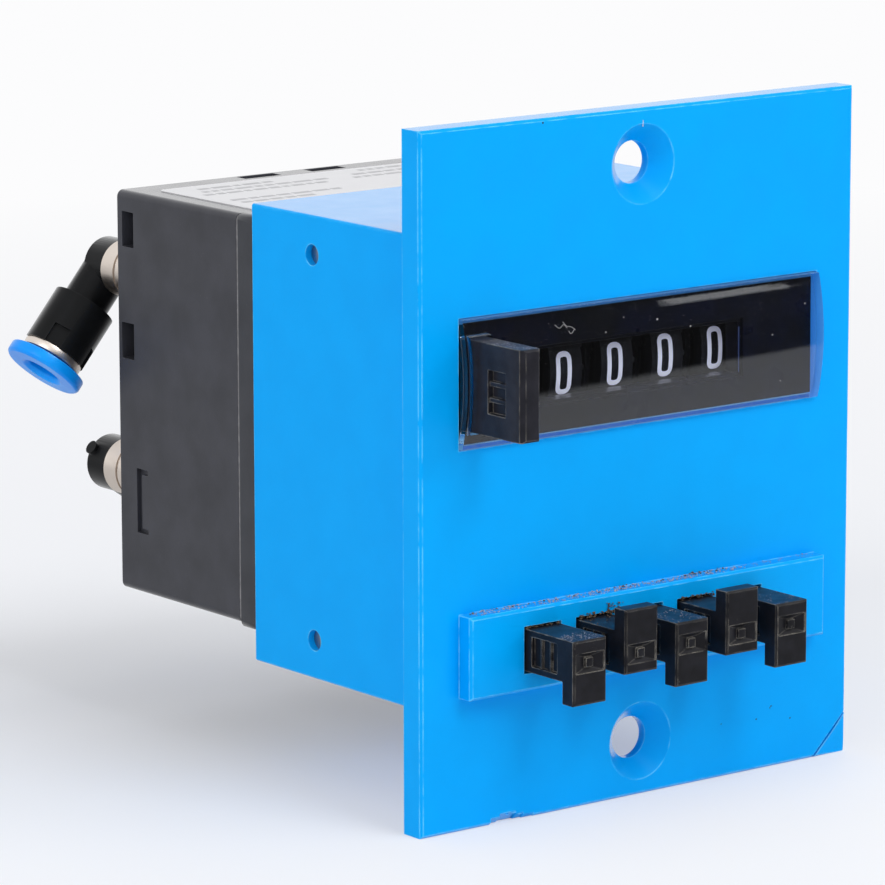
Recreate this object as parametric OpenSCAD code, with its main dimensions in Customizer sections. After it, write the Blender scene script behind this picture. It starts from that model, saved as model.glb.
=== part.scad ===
// Pneumatic time delay valve for panel mounting, five digit pre-set, built as its separate pieces.
// Millimetres. Origin: centre of the back face of the front plate, which sits on the panel.
// X to the right along the plate seen from the front, Y backwards through the panel, Z up.

/* [Front plate] */
// width of the plate
plate_w = 60; // [58:0.5:66]
// height of the plate
plate_h = 75; // [74:0.5:84]
// thickness of the plate
plate_t = 3; // [2.8:0.1:3.6]
// distance of the panel screws from the plate's upper and lower edge
screw_edge = 6; // [5.5:0.25:6.5]
// panel screw hole diameter
screw_hole_d = 4.6; // [3.4:0.1:4.8]
// countersink diameter at the front face
countersink_d = 8.6; // [7.6:0.1:9.2]
// bevel on the front edges
front_bevel = 0.3; // [0.2:0.05:0.5]

/* [Sleeve] */
// outside width and height of the square sleeve behind the plate
sleeve_w = 51; // [50.6:0.2:52]
// wall of the sleeve
sleeve_wall = 1.4; // [1.2:0.1:1.6]
// length of the sleeve behind the plate
sleeve_len = 32.6; // [32.2:0.2:34]
// radius of the sleeve's long edges
sleeve_edge_r = 0.3; // [0.2:0.05:0.5]
// distance of the retaining pins behind the plate
pin_back = 21.7; // [20:0.1:24]
// height of the retaining pins above and below the middle
pin_rise = 21.2; // [20.6:0.1:21.4]
// retaining pin hole diameter
pin_hole_d = 2.3; // [1.8:0.1:2.6]

/* [Window] */
// height of the middle of the window
window_z = 10.5; // [10.2:0.1:10.8]
// height of the recess for the clear cap
recess_h = 14; // [13.6:0.1:14.6]
// depth of the recess in the plate
recess_d = 2; // [1.8:0.1:2.2]
// height of the opening behind the recess
opening_h = 11.2; // [11:0.1:11.8]
// front of the clear cap before the plate, at its middle
lens_crown = 1.4; // [1.2:0.1:2]
// radius of the clear cap's curved front
lens_r = 26.9; // [24:0.1:34]
// wall of the clear cap
lens_t = 1.1; // [0.9:0.1:1.2]
// left end of the digit slot, from the middle of the first wheel
slot_over = 3.8; // [3.4:0.1:4.2]
// right end of the digit slot, from the middle of the last wheel
slot_end = 1.4; // [1.2:0.1:2]
// lower edge of the digit slot
slot_low = 7.95; // [7.4:0.05:8.4]
// height of the digit slot
slot_h = 5; // [4.6:0.1:5.6]

/* [Digit wheels] */
// free width beside the five wheels between the side plates
works_room = 3.55; // [3.5:0.05:3.7]
// sideways place of the middle wheel
wheel_shift = -1.1; // [-1.15:0.05:-1]
// radius of the digit wheels
wheel_r = 8.5; // [8.4:0.05:8.6]
// distance of the wheel shaft behind the plate
wheel_y = 8.8; // [8.7:0.05:9.2]
// height of the wheel shaft
wheel_z = 9.7; // [9.6:0.1:10]
// width of a wheel's gear, disc and cam with their clearance
gear_room = 2.65; // [2.6:0.05:2.8]
// diameter of the wheel shaft
shaft_d = 3; // [2.6:0.1:3.2]
// running clearance round shafts and rods
run_gap = 0.05; // [0.03:0.01:0.08]
// teeth on a wheel's side gear
gear_teeth = 20; // [20:1:20]
// teeth on a transfer pinion
pinion_teeth = 8; // [8:1:8]
// distance between wheel shaft and pinion shaft
gear_centres = 10.35; // [10.3:0.01:10.4]
// depth to which gear and pinion reach into each other
mesh_depth = 0.85; // [0.7:0.05:0.85]

/* [Keys] */
// width of a key's arm
key_w = 4.5; // [4.2:0.1:4.6]
// height of a key's arm
key_h = 4.6; // [4.2:0.1:4.8]
// height of the middle of the key arms
key_z = -18.5; // [-18.7:0.1:-18.3]
// height of a thumb tab over the pad while its key is pressed
key_over = 1.2; // [1:0.1:1.6]
// thickness of the thumb tab
tab_t = 1.9; // [1.6:0.1:2.2]
// reach of the thumb tab beyond the arm
tab_reach = 2.4; // [2:0.05:2.6]
// travel of a key
key_travel = 4.8; // [4:0.1:4.9]
// raised pad round the keys
pad_out = 2; // [1.6:0.1:2.2]
// height of the raised pad
pad_h = 9; // [8.6:0.1:9.4]
// gap between a key and its opening
key_gap = 0.25; // [0.2:0.05:0.35]

/* [Reset button] */
// distance of the button's middle from the sleeve's inner side
button_inset = 1.5; // [1.45:0.01:1.55]
// height of the middle of the button
button_z = 10.4; // [10.3:0.1:10.5]
// thickness of the button
button_w = 2.4; // [2.2:0.05:2.5]
// height of the button
button_h = 9.8; // [9.4:0.1:9.9]
// reach of the button before the clear cap while it is pressed
button_over = 2.8; // [2.4:0.1:3.2]
// travel of the button
button_travel = 5; // [4.4:0.1:5.2]

/* [Rear part] */
// step from the sleeve's side in to the rear part's side
rear_step = 0.5; // [0.3:0.1:0.7]
// top of the rear housing
rear_top = 23.9; // [23.6:0.1:24]
// bottom of the rear housing
rear_low = -22; // [-22.3:0.1:-21.8]
// depth of the frame between sleeve and rear housing
frame_d = 3.4; // [3.2:0.1:4]
// thickness of the seam gasket
seam_t = 0.3; // [0.2:0.05:0.5]
// depth of frame, seam and rear housing together
rear_d = 26.6; // [26.2:0.2:28]
// wall of the rear housing
rear_wall = 1.9; // [1.8:0.05:2]
// radius of the rear housing's long edges
edge_r = 0.8; // [0.5:0.1:1.2]
// thickness of the label on top
label_t = 0.1; // [0.08:0.01:0.15]

/* [Valve parts] */
// drive cylinder bore radius
cylinder_r = 3.55; // [3.3:0.05:3.6]
// travel of the drive piston
drive_travel = 3; // [2.4:0.1:3.2]
// spool radius
spool_r = 2.5; // [2.2:0.1:2.6]
// travel of the spool
spool_travel = 1.8; // [1.4:0.1:1.8]

/* [Tube fittings] */
// distance of the ports from the rear part's sides
port_inset = 4.8; // [4.7:0.05:4.9]
// height of the upper ports
port_high = 13.8; // [13.6:0.1:14]
// height of the lower ports
port_low = -9.3; // [-9.6:0.1:-9]
// core radius of the port threads
port_r = 2.1; // [2:0.05:2.15]
// depth of the port threads
port_d = 6; // [5.6:0.1:6.4]
// radius of the fitting's metal collar
collar_r = 3.25; // [3.1:0.05:3.4]
// length of the metal collar with its seal
collar_len = 5.8; // [5.4:0.1:6.4]
// radius of the swivel journal
journal_r = 1.6; // [1.5:0.05:1.7]
// angle of the upper arm from straight down, towards the left
upper_angle = 40; // [30:1:50]
// angle of the lower arm from straight down, towards the right
lower_angle = 55; // [40:1:70]
// radius of the arm's wide part
arm_r = 3.75; // [3.7:0.05:3.9]
// length of the arm up to the metal ring
arm_len = 12.3; // [12:0.1:13]
// radius of the release ring's flange
release_r = 4.7; // [4.6:0.05:5]
// travel of the release ring
release_travel = 0.9; // [0.7:0.05:0.95]
// radius of the tube mouth
mouth_r = 2.05; // [2.03:0.01:2.08]

/* [Hidden] */
$fn = 64;
e = 1;
blue = [0.05, 0.64, 0.96];
black = [0.16, 0.16, 0.18];
dark = [0.27, 0.27, 0.30];
steel = [0.72, 0.73, 0.75];
brass = [0.78, 0.66, 0.38];
nickel = [0.76, 0.73, 0.70];
white = [0.93, 0.93, 0.92];
rubber = [0.10, 0.10, 0.10];

pw = plate_w / 2;
ph = plate_h / 2;
sw = sleeve_w / 2;
si = sw - sleeve_wall;
face = -plate_t;
screw_z = ph - screw_edge;
floor_y = face + recess_d;
rec_hw = si + 0.8;
rec_lo = window_z - recess_h / 2;
rec_hi = window_z + recess_h / 2;
open_lo = window_z - opening_h / 2;
open_hi = window_z + opening_h / 2;
lens_hw = rec_hw - 0.1;
lens_lo = rec_lo + 0.1;
lens_hi = rec_hi - 0.1;
lens_rim = 0.5;
lens_axis = face - lens_crown + lens_r;
pad_y = face - pad_out;
pad_lo = key_z - pad_h / 2;
pad_hi = key_z + pad_h / 2;
key_front = pad_y - key_travel - tab_t - key_over;
button_front = face - lens_crown - button_travel - button_over;
button_x = button_inset - si;
bl = button_x - button_w / 2;
br = button_x + button_w / 2;
b_lo = button_z - button_h / 2;
b_hi = button_z + button_h / 2;
b_gap = 0.25;

// works between two steel side plates
side_room = 4.7;
plate_in = si - side_room;
wheel_pitch = (2 * plate_in - works_room) / 5;
first_wheel_x = wheel_shift - 2 * wheel_pitch;
rim_w = wheel_pitch - gear_room;
slot_left = cx(0) - slot_over;
slot_right = cx(4) + slot_end;
slot_lip = 0.5;
side_t = 1;
plate_out = plate_in + side_t;
side_y0 = 1;
side_y1 = sleeve_len;
side_hz = si - 1.8;
foot = 5;
stem_x = button_x + 0.15;
stem_r = 1;
ear_y = 11;
ear_t = 1;
guide_y = 11;
guide_t = 1.5;
guide_end = 2;
key_lip = 0.7;
key_stem = 1.2;
stem_back = guide_y + guide_t + 3;
pawl_x = rim_w / 2 + 0.3;
pawl_t = 0.8;
pawl_y = 7;
pawl_h = 1.5;
shaft_r = shaft_d / 2;
pinion_shaft_r = 1;
pinion_y = wheel_y + gear_centres;
gear_root = 6.9;
gear_r = gear_centres - 3.3 + mesh_depth;
pinion_r = 3.3;
pinion_root = 2.3;
cam_min = 2.6;
cam_max = 5.2;
rim_t = 1.2;
carry_r = 6.7;
comb_y = 17.5;
comb_z = 18.5;
comb_r = 1.2;
comb_left = 0.8 - si;
comb_arm = 1.6;
comb_reach = 8.4;
rod_y = sleeve_len - 4.6;
rod_z = 20;
rod_low_y = 5;

// rear part
frame_y = sleeve_len;
seam_y = frame_y + frame_d;
house_y = seam_y + seam_t;
back_y = frame_y + rear_d;
front_wall = 1.6;
cavity_y = house_y + front_wall;
gasket_t = 0.7;
block_y = cavity_y + gasket_t;
rear_hw = sw - rear_step;
in_x = rear_hw - rear_wall;
in_top = rear_top - rear_wall;
in_low = rear_low + rear_wall;
fit = 0.05;
rim = 1.5;
well_x = in_x - rim;
well_top = in_top - 2 * rim;
well_low = in_low + 2 * rim + 0.1;
well_y = block_y + 4.4;
cover_t = 1.5;
fix_x = plate_in - 3;
fix_z = 14.5;
drive_x = cx(4) + rim_w / 2 + 2.4;
drive_z = 0.5;
drive_rod_r = 0.9;
nose_y = 6 + drive_travel;
drive_end = back_y - 4.2;
piston_y = drive_end - 3;
spool_x = -6;
spool_z = 4;
spool_end = back_y - 4.2;
spool_y = well_y + 0.4;
spool_len = spool_end - spool_travel - 2 - spool_y;
nose_sink = 1.5;
nose_t = rear_wall - 1;
air_r = 0.7;
air_y = back_y - port_d + 0.9;
pin_sink = 0.8;
label_edge = 3;
label_r = 1;

// fittings
washer_t = 0.8;
port_x = rear_hw - port_inset;
journal_y = back_y + collar_len;
arm_y = journal_y + 2.8;
knuckle_r = 3.2;
dome_r = 4;
neck_r = 2.75;
wide_z = 5.7;
heel = 0.5;
notch_w = 2;
clamp_r = 3.6;
clamp_in = 1.7;
ring_t = 0.9;
ring_gap = 0.4;
claw_in = 2.7;
flange_y = arm_len + ring_t + ring_gap;
flange_t = 1.4;

function cx(i) = first_wheel_x + i * wheel_pitch;
function ray(r, a) = [r * cos(a), r * sin(a)];
function tooth(r0, r1, w0, w1, a) = [
  ray(r0, a - asin(w0 / r0)), ray(r1, a - asin(w1 / r1)),
  ray(r1, a + asin(w1 / r1)), ray(r0, a + asin(w0 / r0))
];
function gear_points(n, r0, r1, w0, w1) = [
  for (i = [0:n - 1]) for (p = tooth(r0, r1, w0, w1, i * 360 / n)) p
];
function heart(a) = cam_min + (cam_max - cam_min) * (a < 180 ? a : 360 - a) / 180;

// box between two limits on each axis
module bx(x0, x1, y0, y1, z0, z1) {
  translate([x0, y0, z0]) cube([x1 - x0, y1 - y0, z1 - z0]);
}
// round bar along X, Y or the local Z
module rx(x0, x1, y, z, r) {
  translate([x0, y, z]) rotate([0, 90, 0]) cylinder(r = r, h = x1 - x0);
}
module ry(y0, y1, x, z, r) {
  translate([x, y0, z]) rotate([-90, 0, 0]) cylinder(r = r, h = y1 - y0);
}
module cone_y(y0, y1, x, z, r0, r1) {
  translate([x, y0, z]) rotate([-90, 0, 0]) cylinder(r1 = r0, r2 = r1, h = y1 - y0);
}
// square bar turned by 45 degrees, to take a bevel c off an edge
module edge_x(x0, x1, y, z, c) {
  s = c * sqrt(2);
  translate([x0, y, z]) rotate([45, 0, 0]) translate([0, -s / 2, -s / 2]) cube([x1 - x0, s, s]);
}
module edge_z(z0, z1, x, y, c) {
  s = c * sqrt(2);
  translate([x, y, z0]) rotate([0, 0, 45]) translate([-s / 2, -s / 2, 0]) cube([s, s, z1 - z0]);
}
// bevels round the front face of a box
module face_bevel(x0, x1, y, z0, z1, c) {
  edge_x(x0 - e, x1 + e, y, z0, c);
  edge_x(x0 - e, x1 + e, y, z1, c);
  edge_z(z0 - e, z1 + e, x0, y, c);
  edge_z(z0 - e, z1 + e, x1, y, c);
}
// prism along Y with rounded long edges
module rounded_y(x0, x1, y0, y1, z0, z1, r) {
  bx(x0 + r, x1 - r, y0, y1, z0, z1);
  bx(x0, x1, y0, y1, z0 + r, z1 - r);
  for (x = [x0 + r, x1 - r]) for (z = [z0 + r, z1 - r]) ry(y0, y1, x, z, r);
}
// helical spring along +Y from y, dead coil at both ends, mean radius r, wire radius w
module coil(x, y, z, r, w, len, turns) {
  steps = 12 * turns;
  sides = 6;
  function rise(t) = w + (len - 2 * w) *
    (t < 1 / turns ? 0.5 * t * t * turns : t > 1 - 1 / turns ? 1 - 1 / turns - 0.5 * (1 - t) * (1 - t) * turns
      : t - 0.5 / turns) / (1 - 1 / turns);
  pts = [for (k = [0:steps]) for (j = [0:sides - 1])
    let (a = 360 * turns * k / steps, b = 360 * j / sides, q = r + w * cos(b))
      [q * cos(a), rise(k / steps) + w * sin(b), -q * sin(a)]];
  rows = [for (k = [0:steps - 1]) for (j = [0:sides - 1])
    let (n = (j + 1) % sides) [k * sides + j, k * sides + n, (k + 1) * sides + n, (k + 1) * sides + j]];
  first = [for (j = [0:sides - 1]) sides - 1 - j];
  last = [for (j = [0:sides - 1]) steps * sides + j];
  translate([x, y, z]) polyhedron(points = pts, faces = concat(rows, [first, last]), convexity = 8);
}

// plate and sleeve in one moulding
module front_housing() {
  color(blue) difference() {
    union() {
      bx(-pw, pw, face, 0, -ph, ph);
      rounded_y(-sw, sw, -0.5, sleeve_len, -sw, sw, sleeve_edge_r);
      bx(-rec_hw, rec_hw, pad_y, face + 0.5, pad_lo, pad_hi);
    }
    bx(-si, si, 0, sleeve_len + e, -si, si);
    bx(-rec_hw, rec_hw, face - e, floor_y, rec_lo, rec_hi);
    bx(-si, si, face - e, e, open_lo, open_hi);
    for (i = [0:4])
      bx(cx(i) - key_w / 2 - key_gap, cx(i) + key_w / 2 + key_gap, pad_y - e, e,
        key_z - key_h / 2 - key_gap, key_z + key_h / 2 + key_gap);
    for (s = [-1, 1]) {
      ry(face - e, e, 0, s * screw_z, screw_hole_d / 2);
      cone_y(face - 0.1, face + (countersink_d - screw_hole_d) / 2 + 0.1, 0, s * screw_z,
        countersink_d / 2 + 0.1, screw_hole_d / 2 - 0.1);
      for (x = [-sw - e, si - e]) rx(x, x + sleeve_wall + 2 * e, pin_back, s * pin_rise, pin_hole_d / 2);
    }
    face_bevel(-pw, pw, face, -ph, ph, front_bevel);
    face_bevel(-rec_hw, rec_hw, pad_y, pad_lo, pad_hi, front_bevel);
    // cracked and bent corner at the lower right
    translate([pw - 0.2, face, -ph + 4.5]) rotate([0, 45.8, 0]) {
      rotate([0, 0, 6]) translate([0, -3, -7]) cube([6, 3, 14]);
      translate([-0.15, -0.6, -6.3]) cube([0.3, 1.2, 6.6]);
    }
    // chipped lower front edge
    edge_x(-20.6, -16.2, face, -ph, 0.75);
    edge_x(-19.4, -17.2, face, -ph, 1.05);
    edge_x(-16.3, -14.8, face, -ph, 0.5);
  }
}

// clear cap, curved to the front, with a notch for the reset button
module window_lens() {
  color([0.75, 0.85, 0.95, 0.4]) difference() {
    intersection() {
      bx(-lens_hw, lens_hw, face - 4, floor_y, lens_lo, lens_hi);
      rx(-lens_hw - e, lens_hw + e, lens_axis, window_z, lens_r);
    }
    intersection() {
      bx(-lens_hw + lens_rim, lens_hw - lens_rim, face - 4, floor_y + e,
        lens_lo + lens_rim, lens_hi - lens_rim);
      rx(-lens_hw - e, lens_hw + e, lens_axis, window_z, lens_r - lens_t);
    }
    bx(bl - b_gap, br + b_gap, face - 5, floor_y + e, b_lo - b_gap, b_hi + b_gap);
  }
}

// black screen behind the clear cap, with the digit slot
module display_mask() {
  m_hw = lens_hw - lens_rim - 0.1;
  m_lo = lens_lo + lens_rim + 0.1;
  m_hi = lens_hi - lens_rim - 0.1;
  color(black) difference() {
    union() {
      bx(-m_hw, m_hw, floor_y - 1.4, floor_y, m_lo, m_hi);
      bx(br + 0.9, si - 0.1, floor_y - 0.1, -0.1, open_lo + 0.1, open_hi - 0.1);
    }
    bx(slot_left, slot_right, floor_y - 3, e, slot_low, slot_low + slot_h);
    bx(slot_left - slot_lip, slot_right + slot_lip, floor_y - 3, floor_y - 1,
      slot_low - 0.4, slot_low + slot_h + 0.4);
    bx(-m_hw - e, br + b_gap, floor_y - 3, e, b_lo - b_gap, b_hi + b_gap);
  }
}

module side_plate(s) {
  color(steel) difference() {
    union() {
      bx(s < 0 ? -plate_out : plate_in, s < 0 ? -plate_in : plate_out, side_y0, side_y1, -side_hz, side_hz);
      for (z = [-fix_z, fix_z])
        bx(s < 0 ? -plate_in - 0.5 : fix_x - 3, s < 0 ? 3 - fix_x : plate_in + 0.5,
          side_y1 - side_t, side_y1, z - foot, z + foot);
      if (s < 0) bx(-si + 0.1, -plate_in - 0.5, ear_y, ear_y + ear_t, button_z - foot, button_z + foot);
    }
    x0 = s < 0 ? -plate_out - e : plate_in - e;
    rx(x0, x0 + 3, wheel_y, wheel_z, shaft_r + 0.02);
    rx(x0, x0 + 3, pinion_y, wheel_z, pinion_shaft_r + 0.02);
    rx(x0, x0 + 3, comb_y, comb_z, comb_r + run_gap);
    rx(x0, x0 + 3, rod_y, rod_z, 1.02);
    rx(x0, x0 + 3, rod_y, -rod_z, 1.02);
    rx(x0, x0 + 3, rod_low_y, rod_z, 1.02);
    for (z = [-pin_rise, pin_rise]) rx(x0, x0 + 3, pin_back, z, pin_hole_d / 2);
    bx(x0, x0 + 3, guide_y - 0.02, guide_y + guide_t + 0.02, key_z - guide_end - 0.02, key_z + guide_end + 0.02);
    for (z = [-fix_z, fix_z]) ry(side_y1 - 2, side_y1 + e, s * fix_x, z, 1.22);
    if (s < 0) ry(ear_y - e, ear_y + ear_t + e, stem_x, button_z, stem_r + run_gap);
  }
}
module left_side_plate() { side_plate(-1); }
module right_side_plate() { side_plate(1); }

// three rods with riveted ends that hold the side plates apart
module spacer_rods() {
  color(steel) for (p = [[rod_y, rod_z], [rod_y, -rod_z], [rod_low_y, rod_z]]) {
    rx(-plate_in, plate_in, p[0], p[1], 1.6);
    rx(-plate_out - 0.3, plate_out + 0.3, p[0], p[1], 1);
  }
}

// four dowels from the sleeve into the side plates
module retaining_pins() {
  color(steel) for (s = [-1, 1]) for (z = [-pin_rise, pin_rise])
    translate([s < 0 ? pin_sink - sw : plate_in - 0.4, pin_back, z]) rotate([0, 90, 0])
      cylinder(r = pin_hole_d / 2 - 0.03, h = sw - pin_sink - plate_in + 0.4);
}

module drum_shaft() {
  color(steel) difference() {
    rx(-plate_out - 0.6, plate_out + 0.6, wheel_y, wheel_z, shaft_r);
    for (s = [-1, 1]) bx(s * (plate_out + 0.35) - 0.12, s * (plate_out + 0.35) + 0.12,
      wheel_y - 2, wheel_y + 2, wheel_z + shaft_r - 0.3, wheel_z + 2);
  }
}

module pinion_shaft() {
  color(steel) {
    rx(-plate_out - 0.5, plate_out + 0.5, pinion_y, wheel_z, pinion_shaft_r);
    rx(cx(3) + rim_w / 2 + wheel_pitch + 0.05, plate_in, pinion_y, wheel_z, 1.5);
  }
}

// one tube on each shaft, between the left side plate and the first turning piece
module shaft_spacers() {
  x1 = cx(0) - rim_w / 2 - 0.9;
  x2 = cx(0) + rim_w / 2 + 0.05;
  color(brass) difference() {
    union() {
      rx(-plate_in, x1, wheel_y, wheel_z, 2.4);
      rx(-plate_in, x2, pinion_y, wheel_z, 1.5);
    }
    rx(-plate_in - e, x2 + e, wheel_y, wheel_z, shaft_r + 0.02);
    rx(-plate_in - e, x2 + e, pinion_y, wheel_z, pinion_shaft_r + 0.02);
  }
}

// wheel with digit rim, side gear, carry disc and heart cam in one moulding
module wheel(i) {
  half = rim_w / 2;
  color(black) translate([cx(i), wheel_y, wheel_z]) rotate([0, 90, 0]) difference() {
    union() {
      difference() {
        translate([0, 0, -half]) cylinder(r = wheel_r, h = rim_w);
        translate([0, 0, -half - e]) cylinder(r = wheel_r - rim_t, h = rim_w + 2 * e);
      }
      translate([0, 0, -0.6]) cylinder(r = wheel_r - rim_t + 0.2, h = 1.2);
      translate([0, 0, -half - 0.75]) cylinder(r = 2.4, h = rim_w + 2.5);
      translate([0, 0, -half - 0.75]) cylinder(r = carry_r, h = 0.75);
      translate([0, 0, half]) linear_extrude(height = 0.75)
        polygon(gear_points(gear_teeth, gear_root, gear_r, 0.5, 0.25));
      translate([0, 0, half + 0.75]) linear_extrude(height = 0.7)
        polygon([for (a = [0:10:350]) ray(heart(a), a)]);
      if (i == 4) {
        translate([0, 0, half + 1.4]) cylinder(r = 2.4, h = plate_in - 0.15 - cx(4) - half - 1.4);
        translate([0, 0, half + 1.9]) linear_extrude(height = 1.2)
          polygon([for (k = [0:9]) for (p = [ray(5.4, k * 36), ray(6.5, k * 36 + 8)]) p]);
      }
    }
    translate([0, 0, -6]) cylinder(r = shaft_r + run_gap, h = 14);
    for (k = [0:4]) rotate([0, 0, k * 72 + 36]) translate([4.6, 0, -6]) cylinder(r = 0.9, h = 8);
  }
}
module digit_wheel_1() { wheel(0); }
module digit_wheel_2() { wheel(1); }
module digit_wheel_3() { wheel(2); }
module digit_wheel_4() { wheel(3); }
module digit_wheel_5() { wheel(4); }

// eight tooth pinion between two wheels, with a hub that keeps its distance to the next
module pinion(i) {
  x0 = cx(i) + rim_w / 2 + 0.15;
  color(white) translate([x0, pinion_y, wheel_z]) rotate([0, 90, 0]) difference() {
    union() {
      rotate([0, 0, 180 / pinion_teeth]) linear_extrude(height = 2.3)
        polygon(gear_points(pinion_teeth, pinion_root, pinion_r, 0.45, 0.22));
      cylinder(r = 1.5, h = wheel_pitch - 0.2);
    }
    translate([0, 0, -e]) cylinder(r = pinion_shaft_r + run_gap, h = wheel_pitch + 2 * e);
  }
}
module transfer_pinion_1() { pinion(0); }
module transfer_pinion_2() { pinion(1); }
module transfer_pinion_3() { pinion(2); }
module transfer_pinion_4() { pinion(3); }

// bar with five square holes that guides the key stems and carries the springs
module key_guide() {
  color(brass) difference() {
    union() {
      bx(-plate_in, plate_in, guide_y, guide_y + guide_t, key_z - 4.2, key_z + 4.2);
      bx(-plate_out, plate_out, guide_y, guide_y + guide_t, key_z - guide_end, key_z + guide_end);
    }
    hole = key_stem + 0.15;
    for (i = [0:4]) bx(cx(i) - hole, cx(i) + hole, guide_y - e, guide_y + guide_t + e, key_z - hole, key_z + hole);
  }
}

// shallow funnel with a small boss in its middle, on the front of a key's arm
module funnel(x) {
  w = 1.9;
  h = 1.05;
  flat = 0.65;
  step = 0.12;
  deep = 0.45;
  y0 = key_front - e;
  y1 = key_front + step;
  y2 = key_front + deep;
  difference() {
    intersection() {
      translate([x, 0, key_z - h - 0.15]) linear_extrude(height = 2 * h)
        polygon([[-w, y0], [w, y0], [w, y1], [flat, y2], [-flat, y2], [-w, y1]]);
      translate([x - w, 0, key_z - 0.15]) rotate([90, 0, 90]) linear_extrude(height = 2 * w)
        polygon([[y0, -h], [y1, -h], [y2, -flat], [y2, flat], [y1, h], [y0, h]]);
    }
    bx(x - flat + 0.15, x + flat - 0.15, y1, y2 + e, key_z - flat, key_z + flat - 0.3);
  }
}

// key with thumb tab, arm, stop flange, stem and pawl; up is 1 for a tab above the arm
module key(i, up) {
  x = cx(i);
  hw = key_w / 2;
  hh = key_h / 2;
  z0 = key_z - hh - (up ? 0 : tab_reach);
  z1 = key_z + hh + (up ? tab_reach : 0);
  x0 = x + pawl_x;
  x1 = x0 + pawl_t;
  bar_z = wheel_z - wheel_r - 2.6;
  tip_z = wheel_z - gear_r - 0.4;
  color(black) difference() {
    union() {
      bx(x - hw, x + hw, key_front, 0.5, key_z - hh, key_z + hh);
      bx(x - hw, x + hw, key_front, key_front + tab_t, z0, z1);
      bx(x - hw - key_lip, x + hw + key_lip, 0.1, 1.4, key_z - hh - 0.8, key_z + hh + 0.8);
      bx(x - key_stem, x + key_stem, 1, stem_back, key_z - key_stem, key_z + key_stem);
      bx(x - key_stem, x1, stem_back - pawl_h, stem_back, key_z - key_stem, key_z + key_stem);
      bx(x0, x1, stem_back - pawl_h, stem_back, key_z - key_stem, bar_z);
      bx(x0, x1, pawl_y, stem_back, bar_z - pawl_h, bar_z);
      translate([x0, 0, 0]) rotate([90, 0, 90]) linear_extrude(height = pawl_t)
        polygon([[pawl_y, bar_z - 0.5], [pawl_y + 1.4, bar_z - 0.5], [pawl_y + 0.3, tip_z], [pawl_y, tip_z]]);
    }
    funnel(x);
    // pocket with ribs in both flanks
    for (s = [-1, 1]) {
      for (k = [0:2]) translate([x + s * hw - 0.45, key_front + tab_t + 0.9 + k * 1.5, key_z - 1.6])
        cube([0.9, 1.2, 3.2]);
      translate([x + s * hw - 0.2, key_front + tab_t + 0.9, key_z - 1.6]) cube([0.4, 4.2, 3.2]);
    }
    face_bevel(x - hw, x + hw, key_front, z0, z1, 0.2);
  }
}
module key_1() { key(0, false); }
module key_2() { key(1, true); }
module key_3() { key(2, false); }
module key_4() { key(3, true); }
module key_5() { key(4, false); }

module key_spring(i) { color(steel) coil(cx(i), 1.45, key_z, 2, 0.175, guide_y - 1.5, 6); }
module key_spring_1() { key_spring(0); }
module key_spring_2() { key_spring(1); }
module key_spring_3() { key_spring(2); }
module key_spring_4() { key_spring(3); }
module key_spring_5() { key_spring(4); }

// flat button with a bevelled front edge, pockets in the flanks, stop flange and stem
module reset_button() {
  grip_y = button_front + button_over;
  grip_l = 2.9;
  grip_z = button_z - 2.5;
  grip_h = 4.6;
  color(black) difference() {
    union() {
      bx(bl, br, button_front, 0.4, b_lo, b_hi);
      bx(-si + 0.1, br + 0.4, floor_y + 0.1, 0.4, b_lo - b_gap - 0.25, b_hi + b_gap + 0.25);
      ry(0, ear_y + ear_t + 2, stem_x, button_z, stem_r);
    }
    edge_z(b_lo - e, b_hi + e, bl, button_front, 0.5);
    edge_z(b_lo - e, b_hi + e, br, button_front, 0.2);
    edge_x(bl - e, br + e, button_front, b_lo, 0.25);
    edge_x(bl - e, br + e, button_front, b_hi, 0.25);
    // pocket with two ribs in the outer flank, plain pocket in the inner one
    for (k = [0:2]) bx(bl - e, bl + 0.7, grip_y, grip_y + grip_l, grip_z + k * 1.7, grip_z + k * 1.7 + 1.2);
    bx(bl - e, bl + 0.25, grip_y, grip_y + grip_l, grip_z, grip_z + grip_h);
    bx(br - 0.3, br + e, grip_y, grip_y + grip_l, grip_z, grip_z + grip_h);
  }
}
module reset_spring() {
  color(steel) coil(stem_x, 0.45, button_z, 1.32, 0.165, ear_y - 0.5, 8);
}

// rocking comb: one arm outside the left side plate, five fingers over the heart cams
module reset_comb() {
  color(brass) {
    rx(comb_left, plate_out + 0.3, comb_y, comb_z, comb_r);
    rx(comb_left, comb_left + comb_arm + 0.2, comb_y, comb_z, comb_r + 0.9);
    translate([comb_left + 0.1, comb_y, comb_z]) rotate([-15.2, 0, 0]) bx(0, comb_arm, -0.8, 0.8, -comb_reach, 0);
    rx(comb_left, comb_left + comb_arm + 0.2, comb_y - 2.2, comb_z - comb_reach + 0.3, 1);
    for (i = [0:4]) {
      hub = cx(i) + rim_w / 2 + 0.4;
      rx(hub, hub + 1.3, comb_y, comb_z, comb_r + 0.8);
      translate([hub + 0.45, comb_y, comb_z]) rotate([15.3, 0, 0]) bx(0, 0.5, -6.6, 0, -0.6, 0.4);
    }
  }
}

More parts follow.
